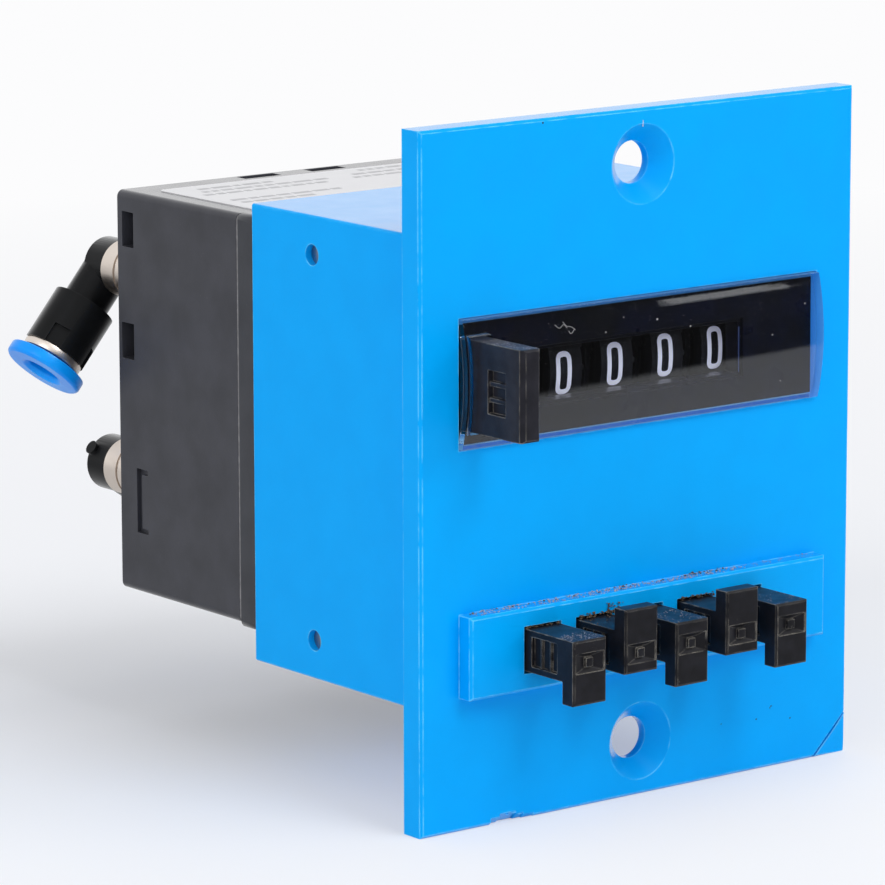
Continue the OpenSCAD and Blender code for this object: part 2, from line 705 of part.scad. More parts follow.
// frame between sleeve and rear housing, with a spigot inside the sleeve
module rear_frame() {
  hw = rear_hw;
  zl = rear_low - 0.45;
  zt = rear_top + 0.1;
  color(black) difference() {
    union() {
      rounded_y(-hw, hw, frame_y, seam_y, zl, zt, edge_r);
      bx(-si + 0.15, si - 0.15, frame_y - 2, frame_y + 0.5, -si + 0.15, zt - 0.2);
    }
    bx(-si + 1.35, si - 1.35, frame_y - 3, frame_y, -si + 1.35, si - 1.35);
    difference() {
      bx(-hw + 2, hw - 2, frame_y + 1.8, seam_y + e, zl + 2, zt - 2);
      for (x = [-fix_x, fix_x]) for (z = [-fix_z, fix_z]) ry(frame_y, seam_y, x, z, 3.2);
      bx(-hw, hw, frame_y, seam_y, -0.6, 0.6);
      bx(-0.6, 0.6, frame_y, seam_y, zl, zt);
    }
    for (x = [-fix_x, fix_x]) for (z = [-fix_z, fix_z]) ry(frame_y - e, seam_y + e, x, z, 1.3);
    ry(frame_y - e, seam_y + e, drive_x, drive_z, 1.3);
    edge_x(-hw - e, hw + e, frame_y, zt, 0.3);
  }
}

// four screws from inside the rear housing into the feet of the side plates
module frame_screws() {
  color(steel) for (x = [-fix_x, fix_x]) for (z = [-fix_z, fix_z]) difference() {
    union() {
      ry(side_y1 - 1.6, cavity_y + 0.1, x, z, 1.2);
      ry(cavity_y, cavity_y + 1.5, x, z, 2.1);
    }
    bx(x - 2.3, x + 2.3, cavity_y + 1, cavity_y + 2, z - 0.25, z + 0.25);
  }
}

module seam_gasket() {
  color([0.75, 0.76, 0.78]) difference() {
    rounded_y(-rear_hw + 0.05, rear_hw - 0.05, seam_y, house_y, rear_low + 0.05, rear_top - 0.05, edge_r);
    bx(-rear_hw + 2, rear_hw - 2, seam_y - e, house_y + e, rear_low + 2, rear_top - 2);
  }
}

// rear housing: shell closed to the front, snap windows at the sides, top and bottom
module rear_housing() {
  color(dark) difference() {
    rounded_y(-rear_hw, rear_hw, house_y, back_y, rear_low, rear_top, edge_r);
    bx(-in_x, in_x, cavity_y, back_y + e, in_low, in_top);
    for (x = [-fix_x, fix_x]) for (z = [-fix_z, fix_z]) ry(house_y - e, cavity_y + e, x, z, 1.3);
    ry(house_y - e, cavity_y + e, drive_x, drive_z, 1.3);
    for (x = [-rear_hw - e, in_x - e]) {
      bx(x, x + rear_wall + 2 * e, back_y - 3.1, back_y - 0.9, 17.6, 21.6);
      bx(x, x + rear_wall + 2 * e, back_y - 3, back_y - 0.6, 4.8, 8.9);
    }
    for (z = [rear_low - e, in_top - e]) {
      bx(-8.7, -3.65, back_y - 2.2, back_y - 0.4, z, z + rear_wall + 2 * e);
      bx(0.8, 5.6, back_y - 2.2, back_y - 0.4, z, z + rear_wall + 2 * e);
    }
    // bracket shaped groove on both flanks
    for (s = [-1, 1]) {
      x = s * rear_hw;
      bx(x - 0.6, x + 0.6, back_y - 4.2, back_y - 3.2, -15, -7.6);
      bx(x - 0.6, x + 0.6, back_y - 5.35, back_y - 3.2, -8.2, -7.6);
      bx(x - 0.6, x + 0.6, back_y - 5.35, back_y - 3.2, -15, -14.4);
    }
  }
}

module block_gasket() {
  color(rubber) difference() {
    bx(-in_x + fit, in_x - fit, cavity_y, block_y, in_low + fit, in_top - fit);
    bx(-well_x, well_x, cavity_y - e, block_y + e, well_low, well_top);
  }
}

// valve block that closes the rear housing, with four ports, drive cylinder and spool bore
module valve_block() {
  color(dark) difference() {
    union() {
      bx(-in_x + fit, in_x - fit, block_y, back_y, in_low + fit, in_top - fit);
      for (s = [-1, 1]) {
        x0 = s < 0 ? nose_sink - rear_hw : rear_hw - nose_sink - nose_t;
        bx(x0, x0 + nose_t, back_y - 2.9, back_y - 1.1, 17.8, 21.4);
        bx(x0, x0 + nose_t, back_y - 2.8, back_y - 0.8, 5, 8.7);
      }
      for (z = [rear_low + nose_sink, rear_top - nose_sink - nose_t]) {
        bx(-8.5, -3.85, back_y - 2, back_y - 0.6, z, z + nose_t);
        bx(1, 5.4, back_y - 2, back_y - 0.6, z, z + nose_t);
      }
    }
    bx(-well_x, well_x, block_y - e, well_y, well_low, well_top);
    ry(well_y - e, drive_end, drive_x, drive_z, cylinder_r);
    ry(well_y - e, spool_end, spool_x, spool_z, spool_r + run_gap);
    for (x = [-port_x, port_x]) for (z = [port_low, port_high]) {
      ry(back_y - port_d, back_y + e, x, z, port_r);
      cone_y(back_y - 0.35, back_y + 0.01, x, z, port_r - 0.01, port_r + 0.35);
    }
    // air ways from the ports to the spool bore and the cylinder
    rx(-port_x, spool_x, air_y, port_high, air_r);
    translate([spool_x, air_y, spool_z]) cylinder(r = air_r, h = port_high - spool_z + air_r);
    rx(-port_x, spool_x - 2.6, air_y, port_low, air_r);
    translate([spool_x - 2.6, air_y, port_low - air_r]) cylinder(r = air_r, h = spool_z - port_low);
    translate([port_x - 1, air_y, drive_z]) cylinder(r = air_r, h = port_high - drive_z);
    ry(well_y - e, back_y - port_d + 0.1, port_x, port_low, air_r);
    // four small hollows that keep the walls of the moulding even
    for (x = [-3, 5]) {
      bx(x, x + 6, back_y - port_d, back_y + e, well_low + 0.5, well_low + 8.5);
      bx(x, x + 6, back_y - port_d, back_y + e, well_top - 10, well_top - 2);
    }
  }
}

// plate that closes cylinder and spool bore to the front
module cylinder_cover() {
  color(steel) difference() {
    bx(-well_x + 0.1, well_x - 0.1, well_y - cover_t, well_y, well_low + 0.1, well_top - 0.1);
    ry(well_y - 3, well_y + e, drive_x, drive_z, drive_rod_r + run_gap);
    ry(well_y - 3, well_y + e, spool_x, spool_z, 1.2);
  }
}

// piston with the long rod whose nose pushes the count ratchet of the last wheel
module drive_piston() {
  color(nickel) difference() {
    union() {
      ry(piston_y, piston_y + 2.4, drive_x, drive_z, cylinder_r - run_gap);
      ry(nose_y + 1, piston_y + 0.5, drive_x, drive_z, drive_rod_r);
      bx(drive_x - 0.8, drive_x + 0.8, nose_y, nose_y + 1.6, drive_z - 0.9, drive_z + 1.7);
    }
    translate([drive_x, piston_y + 1.2, drive_z]) rotate([-90, 0, 0]) rotate_extrude()
      translate([cylinder_r - 0.35, -0.55]) square([1, 1.1]);
  }
}
module piston_seal() {
  color(rubber) translate([drive_x, piston_y + 1.2, drive_z]) rotate([-90, 0, 0]) rotate_extrude()
    translate([cylinder_r - 0.35, -0.5]) square([0.3, 1]);
}
module drive_spring() {
  color(steel) coil(drive_x, well_y + 0.05, drive_z, 2.5, 0.25, piston_y - well_y - 0.1, 5);
}

module valve_spool() {
  color(nickel) difference() {
    ry(spool_y, spool_y + spool_len, spool_x, spool_z, spool_r);
    for (k = [1.9, 5.1]) translate([spool_x, spool_y + k, spool_z]) rotate([-90, 0, 0]) difference() {
      cylinder(r = spool_r + e, h = 1.2);
      translate([0, 0, -e]) cylinder(r = 1.4, h = 1.2 + 2 * e);
    }
    for (k = [1.1, 4.2, 7]) translate([spool_x, spool_y + k, spool_z]) rotate([-90, 0, 0]) difference() {
      translate([0, 0, -0.3]) cylinder(r = spool_r + e, h = 0.6);
      translate([0, 0, -e]) cylinder(r = spool_r - 0.5, h = 3);
    }
    ry(spool_y + spool_len - 2, spool_y + spool_len + e, spool_x, spool_z, 0.9);
  }
}
module spool_seals() {
  color(rubber) for (k = [1.1, 4.2, 7]) translate([spool_x, spool_y + k, spool_z])
    rotate([-90, 0, 0]) rotate_extrude() translate([spool_r - 0.25, 0]) circle(r = 0.24);
}
module spool_spring() {
  y0 = spool_y + spool_len + 0.05;
  color(steel) coil(spool_x, y0, spool_z, 1.7, 0.2, spool_end - y0 - 0.05, 4);
}

// printed label on top of the rear housing
module top_label() {
  hw = rear_hw - label_edge;
  y0 = house_y + 0.6;
  y1 = back_y - 3.7;
  color(white) translate([0, 0, rear_top]) linear_extrude(height = label_t) union() {
    translate([label_r - hw, y0]) square([2 * (hw - label_r), y1 - y0]);
    translate([-hw, y0 + label_r]) square([2 * hw, y1 - y0 - 2 * label_r]);
    for (x = [label_r - hw, hw - label_r]) for (y = [y0 + label_r, y1 - label_r]) translate([x, y])
      circle(r = label_r);
  }
}

// frame of a fitting: turns local Z into the direction of its arm
module on_arm(z, a) { translate([-port_x, arm_y, z]) rotate([0, a, 0]) children(); }

// threaded stud with collar and swivel journal
module stud(z) {
  color(nickel) difference() {
    union() {
      ry(back_y - port_d + 0.5, back_y + 0.5, -port_x, z, port_r - 0.02);
      ry(back_y + washer_t, journal_y, -port_x, z, collar_r);
      ry(back_y, back_y + washer_t + 0.1, -port_x, z, port_r - 0.02);
      ry(journal_y - 0.1, arm_y + 1.3, -port_x, z, journal_r);
    }
    ry(back_y - port_d, arm_y + 0.4, -port_x, z, 0.8);
    translate([-port_x, arm_y - 0.6, z]) rotate([-90, 0, 0]) difference() {
      cylinder(r = journal_r + e, h = 1.2);
      translate([0, 0, -e]) cylinder(r = journal_r - 0.35, h = 4);
    }
    for (a = [0, 90]) translate([-port_x, arm_y, z]) rotate([0, a, 0]) translate([0, 0, -3])
      cylinder(r = 0.5, h = 6);
    translate([-port_x, journal_y + 0.4, z]) rotate([-90, 0, 0]) difference() {
      cylinder(r = journal_r + e, h = 0.8);
      translate([0, 0, -e]) cylinder(r = journal_r - 0.25, h = 4);
    }
    translate([-port_x, back_y + 3, z]) rotate([-90, 0, 0]) difference() {
      cylinder(r = collar_r + e, h = 0.4);
      translate([0, 0, -e]) cylinder(r = collar_r - 0.2, h = 4);
    }
  }
}
module washer(z) {
  color(rubber) difference() {
    ry(back_y, back_y + washer_t, -port_x, z, collar_r - 0.05);
    ry(back_y - e, back_y + 2, -port_x, z, port_r + 0.4);
  }
}

// moulded elbow that swivels on the journal; the arm carries the tube socket
module elbow(z, a) {
  color(black) difference() {
    union() {
      intersection() {
        ry(journal_y + 0.1, arm_y + 4, -port_x, z, knuckle_r);
        translate([-port_x, arm_y - 1.8, z]) sphere(r = dome_r);
      }
      on_arm(z, a) {
        rotate_extrude() intersection() {
          union() {
            circle(r = neck_r);
            square([neck_r, wide_z + 0.2]);
          }
          translate([0, -neck_r]) square([neck_r, 2 * neck_r + wide_z]);
        }
        translate([0, 0, wide_z]) cylinder(r = arm_r, h = arm_len - wide_z);
        translate([0, 0, -knuckle_r - heel]) cylinder(r = 0.8, h = 2);
      }
    }
    difference() {
      ry(journal_y - e, arm_y + 1.5, -port_x, z, journal_r + run_gap);
      difference() {
        ry(journal_y + 0.7, journal_y + 0.9, -port_x, z, journal_r + 1);
        ry(journal_y, journal_y + 2, -port_x, z, journal_r - 0.17);
      }
    }
    on_arm(z, a) {
      cylinder(r = 1.2, h = 5);
      translate([0, 0, 4.6]) cylinder(r = mouth_r, h = 2.2);
      translate([0, 0, 6.4]) cylinder(r = 2.95, h = arm_len);
      for (k = [0:3]) rotate([0, 0, k * 90 + 45]) translate([arm_r - 0.5, -notch_w / 2, arm_len - 2.4])
        cube([2, notch_w, 4]);
    }
  }
}
module tube_seal(z, a) {
  color(rubber) on_arm(z, a) difference() {
    translate([0, 0, 6.5]) cylinder(r = 2.9, h = 1.8);
    translate([0, 0, 6]) cylinder(r = mouth_r - 0.1, h = 3);
    translate([0, 0, 7.9]) cylinder(r1 = mouth_r - 0.11, r2 = mouth_r + 0.3, h = 0.41);
  }
}
module clamp_ring(z, a) {
  color(nickel) on_arm(z, a) difference() {
    union() {
      translate([0, 0, arm_len]) cylinder(r = clamp_r, h = ring_t);
      translate([0, 0, arm_len - clamp_in]) cylinder(r = 2.9, h = clamp_in + 0.1);
    }
    translate([0, 0, arm_len - 2]) cylinder(r = mouth_r + 0.4, h = 5);
  }
}
module release_ring(z, a) {
  tip = flange_y + flange_t;
  color(blue) on_arm(z, a) difference() {
    union() {
      translate([0, 0, arm_len - claw_in]) cylinder(r = mouth_r + 0.3, h = claw_in + ring_t + ring_gap + 0.1);
      translate([0, 0, arm_len - claw_in]) cylinder(r = mouth_r + 0.7, h = 0.7);
      translate([0, 0, flange_y]) cylinder(r = release_r, h = flange_t - 0.3);
      translate([0, 0, tip - 0.3]) cylinder(r1 = release_r, r2 = release_r - 0.3, h = 0.3);
    }
    difference() {
      translate([0, 0, flange_y - 0.1]) cylinder(r = clamp_r + 0.35, h = release_travel - ring_gap + 0.35);
      translate([0, 0, flange_y - 2]) cylinder(r = mouth_r + 0.3, h = 5);
    }
    translate([0, 0, arm_len - claw_in - e]) cylinder(r = mouth_r, h = 8);
    translate([0, 0, tip - 0.5]) cylinder(r1 = mouth_r - 0.01, r2 = mouth_r + 0.5, h = 0.51);
  }
}
up = 180 + upper_angle;
down = 180 - lower_angle;
module upper_stud() { stud(port_high); }
module upper_washer() { washer(port_high); }
module upper_elbow() { elbow(port_high, up); }
module upper_tube_seal() { tube_seal(port_high, up); }
module upper_clamp_ring() { clamp_ring(port_high, up); }
module upper_release_ring() { release_ring(port_high, up); }
module lower_stud() { stud(port_low); }
module lower_washer() { washer(port_low); }
module lower_elbow() { elbow(port_low, down); }
module lower_tube_seal() { tube_seal(port_low, down); }
module lower_clamp_ring() { clamp_ring(port_low, down); }
module lower_release_ring() { release_ring(port_low, down); }

front_housing();
window_lens();
display_mask();
left_side_plate();
right_side_plate();
spacer_rods();
retaining_pins();
drum_shaft();
pinion_shaft();
shaft_spacers();
key_guide();
digit_wheel_1();
digit_wheel_2();
digit_wheel_3();
digit_wheel_4();
digit_wheel_5();
transfer_pinion_1();
transfer_pinion_2();
transfer_pinion_3();
transfer_pinion_4();
key_1();
key_2();
key_3();
key_4();
key_5();
key_spring_1();
key_spring_2();
key_spring_3();
key_spring_4();
key_spring_5();
reset_button();
reset_spring();
reset_comb();
rear_frame();
frame_screws();
seam_gasket();
rear_housing();
block_gasket();
valve_block();
cylinder_cover();
drive_piston();
piston_seal();
drive_spring();
valve_spool();
spool_seals();
spool_spring();
top_label();
upper_stud();
upper_washer();
upper_elbow();
upper_tube_seal();
upper_clamp_ring();
upper_release_ring();
lower_stud();
lower_washer();
lower_elbow();
lower_tube_seal();
lower_clamp_ring();
lower_release_ring();
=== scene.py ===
"""Looks of a panel mounted pneumatic time delay valve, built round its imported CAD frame.

The sizes held by the classes are millimetres in the frame of the part: the origin is the middle of
the plate's back face, X goes right along the plate, Y backwards through the panel and Z up. Meshes
are written in metres, with the place of a piece in its vertices.
"""

from __future__ import annotations

import logging
import math
import random
from abc import ABC, abstractmethod
from collections.abc import Iterator
from contextlib import contextmanager
from dataclasses import dataclass, replace
from enum import Enum, StrEnum

import bpy
from mathutils import Matrix, Vector

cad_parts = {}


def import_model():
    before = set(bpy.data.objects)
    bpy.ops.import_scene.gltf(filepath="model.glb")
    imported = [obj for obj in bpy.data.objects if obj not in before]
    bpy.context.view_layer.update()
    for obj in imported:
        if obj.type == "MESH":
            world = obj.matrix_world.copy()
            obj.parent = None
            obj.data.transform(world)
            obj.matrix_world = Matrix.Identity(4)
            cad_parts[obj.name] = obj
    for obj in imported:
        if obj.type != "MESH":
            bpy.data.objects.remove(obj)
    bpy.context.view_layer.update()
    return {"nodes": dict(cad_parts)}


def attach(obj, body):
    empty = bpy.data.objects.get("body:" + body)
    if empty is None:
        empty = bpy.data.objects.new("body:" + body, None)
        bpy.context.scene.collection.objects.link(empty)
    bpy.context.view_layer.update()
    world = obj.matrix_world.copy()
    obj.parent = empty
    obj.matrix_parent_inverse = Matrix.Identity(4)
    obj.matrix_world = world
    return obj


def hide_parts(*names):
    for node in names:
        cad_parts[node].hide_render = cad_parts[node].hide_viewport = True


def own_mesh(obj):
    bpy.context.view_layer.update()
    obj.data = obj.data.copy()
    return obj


LOG = logging.getLogger("delay_valve")
MM = 0.001
Colour = tuple[float, float, float, float]
Point = tuple[float, float]
Place = tuple[float, float, float]


def linear(code: str) -> Colour:
    """Turn an sRGB hex code into the linear colour that shaders take.

    Args:
        code: six hex digits after a hash.

    Returns:
        Linear red, green, blue and an alpha of one.
    """
    parts = [int(code[i : i + 2], 16) / 255 for i in (1, 3, 5)]
    r, g, b = (c / 12.92 if c <= 0.04045 else ((c + 0.055) / 1.055) ** 2.4 for c in parts)
    return (r, g, b, 1.0)


def add(
    tree: bpy.types.NodeTree,
    kind: str,
    inputs: dict[str | int, object] | None = None,
    **settings: object,
) -> bpy.types.Node:
    """Add one shader node with its settings, values and links.

    Args:
        tree: node tree that takes the node.
        kind: node type without its ShaderNode prefix.
        inputs: for each input name or number, a value, a socket to link from, or a node whose
            first output is linked.
        settings: properties of the node itself.

    Returns:
        The new node.
    """
    node = tree.nodes.new(f"ShaderNode{kind}")
    for name, value in settings.items():
        setattr(node, name, value)
    for key, value in (inputs or {}).items():
        source = value.outputs[0] if isinstance(value, bpy.types.Node) else value
        if isinstance(source, bpy.types.NodeSocket):
            tree.links.new(source, node.inputs[key])
        else:
            node.inputs[key].default_value = source
    return node


class Slot(StrEnum):
    """Material slot of the part's record."""

    BLACK = "black_plastic"
    BLUE = "blue_plastic"
    CLEAR = "clear_plastic"
    GREY = "dark_grey_plastic"
    LABEL = "label"
    NICKEL = "nickel"
    SPRING = "spring_steel"
    WHITE = "white_plastic"


class Turned(Enum):
    """Direction along which turning marks follow each other."""

    ALONG_X = (1.0, 0.05, 0.05)
    ALONG_Y = (0.05, 1.0, 0.05)
    NONE = (1.0, 1.0, 1.0)


@dataclass(frozen=True)
class Finish(ABC):
    """A surface finish that can make its own material."""

    name: str

    @abstractmethod
    def fill(self, tree: bpy.types.NodeTree) -> bpy.types.Node:
        """Build the shader nodes.

        Args:
            tree: empty node tree of the material.

        Returns:
            The node whose first output is the surface.
        """

    def material(self) -> bpy.types.Material:
        """Make the material of this finish on first use.

        Returns:
            The material.
        """
        found = bpy.data.materials.get(self.name)
        if found:
            return found
        made = bpy.data.materials.new(self.name)
        made.use_nodes = True
        made.node_tree.nodes.clear()
        add(made.node_tree, "OutputMaterial", {"Surface": self.fill(made.node_tree)})
        return made


@dataclass(frozen=True)
class MouldedPlastic(Finish):
    """Injection moulded plastic from a spark eroded tool.

    Its fine grain gives a satin sheen instead of a mirror, and the smooth skin over it shines at a
    flat angle. The colour drifts a little over a few millimetres, edges are paler, partly as rubbed
    wear and partly as a painted edge highlight, and dust lies on what faces up. Grain, relief and
    cloud are millimetres: the width of the grain, drawn coarser than the real one so that it shows
    in the render, its height, and the width of the colour's drift. A higher keen pales gentler
    edges too.
    """

    colour: str = "#202024"
    deep: str = "#18181C"
    worn_and_highlit: str = "#55555C"
    roughness: float = 0.4
    shine: float = 0.5
    grain: float = 0.22
    relief: float = 0.006
    cloud: float = 5.0
    wear_and_highlight: float = 0.4
    keen: float = 0.9
    dust: float = 0.3
    dust_colour: str = "#9C968C"
    skin: float = 0.9

    def fill(self, tree: bpy.types.NodeTree) -> bpy.types.Node:
        """Build the shader nodes.

        Args:
            tree: empty node tree of the material.

        Returns:
            The shader.
        """
        place = add(tree, "TexCoord").outputs["Object"]
        drift = add(tree, "TexNoise", {"Vector": place, "Scale": 1 / (self.cloud * MM), "Detail": 5.0})
        gloss = add(tree, "MapRange", {
            "Value": drift, "From Min": 0.3, "From Max": 0.7,
            "To Min": self.roughness - 0.05, "To Max": self.roughness + 0.06,
        })
        grain = add(tree, "TexNoise", {
            "Vector": place, "Scale": 1 / (self.grain * MM), "Detail": 2.0, "Roughness": 0.6,
        })
        bump = add(tree, "Bump", {"Height": grain, "Strength": 1.0, "Distance": self.relief * MM})
        facing = add(tree, "LayerWeight", {"Blend": 0.5}).outputs["Facing"]
        skin = add(tree, "MapRange", {
            "Value": facing, "From Min": 0.45, "From Max": 0.85, "To Max": self.skin,
        })
        return add(tree, "BsdfPrincipled", {
            "Base Color": self._tones(tree, place, drift), "Roughness": gloss, "IOR": 1.54,
            "Specular IOR Level": self.shine, "Coat Weight": skin, "Coat Roughness": 0.2,
            "Coat IOR": 1.7, "Normal": bump,
        })

    def _tones(
        self, tree: bpy.types.NodeTree, place: bpy.types.NodeSocket, drift: bpy.types.Node
    ) -> bpy.types.NodeSocket:
        """Lay the rubbed edges and the dust over the drifting colour.

        Args:
            tree: node tree of the material.
            place: object coordinates.
            drift: slow noise of the colour.

        Returns:
            Socket with the colour of the surface.
        """
        share = add(tree, "MapRange", {"Value": drift, "From Min": 0.35, "From Max": 0.65})
        covers = (
            (share.outputs[0], self.deep),
            (self._rubbed_and_highlit(tree, place), self.worn_and_highlit),
            (self._specks(tree, place), self.dust_colour),
        )
        tone = linear(self.colour)
        for mask, over in covers:
            tone = add(tree, "Mix", {0: mask, 6: tone, 7: linear(over)}, data_type="RGBA").outputs[2]
        return tone

    def _rubbed_and_highlit(self, tree: bpy.types.NodeTree, place: bpy.types.NodeSocket) -> bpy.types.NodeSocket:
        """Mask of paler edges: rubbed wear, and a painted edge highlight where the finish asks for it.

        Args:
            tree: node tree of the material.
            place: object coordinates.

        Returns:
            Socket that is zero on flats and up to wear_and_highlight on convex and concave edges.
        """
        eased = add(tree, "Bevel", {"Radius": 0.18 * MM}, samples=4)
        flat = add(tree, "NewGeometry").outputs["Normal"]
        turn = add(tree, "VectorMath", {0: eased, 1: flat}, operation="DOT_PRODUCT")
        edge = add(tree, "MapRange", {
            "Value": turn.outputs["Value"], "From Min": 0.995, "From Max": self.keen,
            "To Max": self.wear_and_highlight,
        })
        patches = add(tree, "TexNoise", {"Vector": place, "Scale": 1 / (1.6 * MM), "Detail": 3.0})
        some = add(tree, "MapRange", {"Value": patches, "From Min": 0.35, "From Max": 0.6})
        return add(tree, "Math", {0: edge, 1: some}, operation="MULTIPLY").outputs[0]

    def _specks(self, tree: bpy.types.NodeTree, place: bpy.types.NodeSocket) -> bpy.types.NodeSocket:
        """Mask of dust specks, 0.15 mm wide so that they show in the render.

        Args:
            tree: node tree of the material.
            place: object coordinates.

        Returns:
            Socket with the dust's cover, most of it on faces that look up.
        """
        cells = add(tree, "TexVoronoi", {"Vector": place, "Scale": 1 / (0.75 * MM)})
        dot = add(tree, "MapRange", {
            "Value": cells.outputs["Distance"], "From Min": 0.16, "From Max": 0.08,
        })
        crowd = add(tree, "TexNoise", {"Vector": place, "Scale": 1 / (3.0 * MM), "Detail": 3.0})
        where = add(tree, "MapRange", {"Value": crowd, "From Min": 0.55, "From Max": 0.7})
        up = add(tree, "SeparateXYZ", {0: add(tree, "NewGeometry").outputs["Normal"]})
        level = add(tree, "MapRange", {
            "Value": up.outputs[2], "From Min": 0.2, "From Max": 0.9,
            "To Min": 0.35 * self.dust, "To Max": self.dust,
        })
        both = add(tree, "Math", {0: dot, 1: where}, operation="MULTIPLY")
        return add(tree, "Math", {0: both, 1: level}, operation="MULTIPLY").outputs[0]


@dataclass(frozen=True)
class BareMetal(Finish):
    """Metal with turning or rolling marks: clear lines across the gloss, dulled in patches.

    The pitch of the marks is millimetres, drawn coarser than a tool leaves it so that they show.
    """

    colour: str = "#B9BABC"
    deep: str = "#A3A4A8"
    roughness: float = 0.32
    pitch: float = 0.12
    marks: Turned = Turned.NONE

    def fill(self, tree: bpy.types.NodeTree) -> bpy.types.Node:
        """Build the shader nodes.

        Args:
            tree: empty node tree of the material.

        Returns:
            The shader.
        """
        place = add(tree, "TexCoord").outputs["Object"]
        cut = add(tree, "Mapping", {"Vector": place, "Scale": self.marks.value})
        lines = add(tree, "TexNoise", {"Vector": cut, "Scale": 1 / (self.pitch * MM), "Detail": 2.0})
        stain = add(tree, "TexNoise", {"Vector": place, "Scale": 1 / (2.5 * MM), "Detail": 4.0})
        blend = {0: stain, 6: linear(self.colour), 7: linear(self.deep)}
        gloss = add(tree, "MapRange", {
            "Value": stain, "From Min": 0.3, "From Max": 0.7,
            "To Min": self.roughness - 0.06, "To Max": self.roughness + 0.1,
        })
        bump = add(tree, "Bump", {"Height": lines, "Strength": 1.0, "Distance": 0.004 * MM})
        return add(tree, "BsdfPrincipled", {
            "Base Color": add(tree, "Mix", blend, data_type="RGBA").outputs[2], "Metallic": 1.0,
            "Roughness": gloss, "Normal": bump,
        })


@dataclass(frozen=True)
class ClearAcrylic(Finish):
    """Clear moulded acrylic: sharp reflections, faint wipe marks, light passes to what is behind."""

    colour: str = "#F6FAFF"

    def fill(self, tree: bpy.types.NodeTree) -> bpy.types.Node:
        """Build the shader nodes.

        Args:
            tree: empty node tree of the material.

        Returns:
            The shader.
        """
        place = add(tree, "TexCoord").outputs["Object"]
        haze = add(tree, "TexNoise", {"Vector": place, "Scale": 1 / (4.0 * MM), "Detail": 5.0})
        gloss = add(tree, "MapRange", {
            "Value": haze, "From Min": 0.35, "From Max": 0.7, "To Max": 0.05,
        })
        ripple = add(tree, "TexNoise", {"Vector": place, "Scale": 1 / (6.0 * MM)})
        bump = add(tree, "Bump", {"Height": ripple, "Strength": 0.5, "Distance": 0.02 * MM})
        glass = add(tree, "BsdfPrincipled", {
            "Base Color": linear(self.colour), "Transmission Weight": 1.0, "Roughness": gloss,
            "IOR": 1.49, "Normal": bump,
        })
        lamp = add(tree, "LightPath").outputs["Is Shadow Ray"]
        open_way = add(tree, "BsdfTransparent", {"Color": linear("#F2F4F8")})
        return add(tree, "MixShader", {0: lamp, 1: glass, 2: open_way})


@dataclass(frozen=True)
class SoftRubber(Finish):
    """Moulded nitrile rubber: matt, nearly black, with a dusty bloom."""

    colour: str = "#17171A"
    bloom: str = "#3A3A3C"

    def fill(self, tree: bpy.types.NodeTree) -> bpy.types.Node:
        """Build the shader nodes.

        Args:
            tree: empty node tree of the material.

        Returns:
            The shader.
        """
        place = add(tree, "TexCoord").outputs["Object"]
        spread = add(tree, "TexNoise", {"Vector": place, "Scale": 1 / (0.8 * MM), "Detail": 5.0})
        share = add(tree, "MapRange", {"Value": spread, "From Min": 0.45, "From Max": 0.75})
        blend = {0: share, 6: linear(self.colour), 7: linear(self.bloom)}
        bump = add(tree, "Bump", {"Height": spread, "Strength": 0.6, "Distance": 0.01 * MM})
        return add(tree, "BsdfPrincipled", {
            "Base Color": add(tree, "Mix", blend, data_type="RGBA").outputs[2], "Roughness": 0.75,
            "Normal": bump,
        })


@dataclass(frozen=True)
class PrintedFilm(Finish):
    """Ink, film or frosted skin: an even tone with a faint fibre and slight drift.

    The fibre is drawn 0.3 mm wide so that it shows. The painted glow is light painted into the
    surface: light that comes through from behind, as in the sides of a clear cap, and a brighter white
    in the digits.
    """

    colour: str = "#E6E6E8"
    deep: str = "#DCDCDE"
    roughness: float = 0.35
    painted_glow: float = 0.0
    painted_glow_colour: str = "#FFFFFF"

    def fill(self, tree: bpy.types.NodeTree) -> bpy.types.Node:
        """Build the shader nodes.

        Args:
            tree: empty node tree of the material.

        Returns:
            The shader.
        """
        place = add(tree, "TexCoord").outputs["Object"]
        tone = add(tree, "TexNoise", {"Vector": place, "Scale": 1 / (3.0 * MM), "Detail": 6.0})
        blend = {0: tone, 6: linear(self.colour), 7: linear(self.deep)}
        fibre = add(tree, "TexNoise", {"Vector": place, "Scale": 1 / (0.3 * MM), "Detail": 2.0})
        bump = add(tree, "Bump", {"Height": fibre, "Strength": 0.5, "Distance": 0.003 * MM})
        return add(tree, "BsdfPrincipled", {
            "Base Color": add(tree, "Mix", blend, data_type="RGBA").outputs[2],
            # Painted glow: emission that stands for light, on a part that is no lamp
            "Roughness": self.roughness, "Emission Color": linear(self.painted_glow_colour),
            "Emission Strength": self.painted_glow, "Normal": bump,
        })


# Blue ABS: satin, saturated, drifting between two close blues
# Its pale cyan edges are a painted edge highlight
BLUE_ABS = MouldedPlastic(
    "blue_abs_moulded", colour="#00A5F5", deep="#00A2F2", worn_and_highlit="#74D6FF", roughness=0.34,
    shine=0.06, wear_and_highlight=1.0, keen=0.975, dust=0.2, dust_colour="#2C5C82", skin=1.0,
)
# Blue acetal of the release rings: smoother and a little deeper
BLUE_ACETAL = MouldedPlastic(
    "blue_acetal_moulded", colour="#08A2FF", deep="#0090F6", worn_and_highlit="#8ACBFF", roughness=0.28,
    shine=0.2, grain=0.3, relief=0.002, wear_and_highlight=0.3, dust=0.05, skin=0.2,
)
# Black acetal of the keys: near black, satin, with thumbed edges and pale dust
BLACK_ACETAL = MouldedPlastic(
    "black_acetal_moulded", colour="#1E1E23", deep="#16161A", worn_and_highlit="#A39E94", roughness=0.38,
    shine=0.14, wear_and_highlight=0.8, dust=0.4, cloud=1.8, skin=0.05,
)
# The same acetal on the button, rubbed greyer by the finger
BUTTON_ACETAL = replace(BLACK_ACETAL, name="rubbed_acetal_moulded", colour="#2A2A31", deep="#202026")
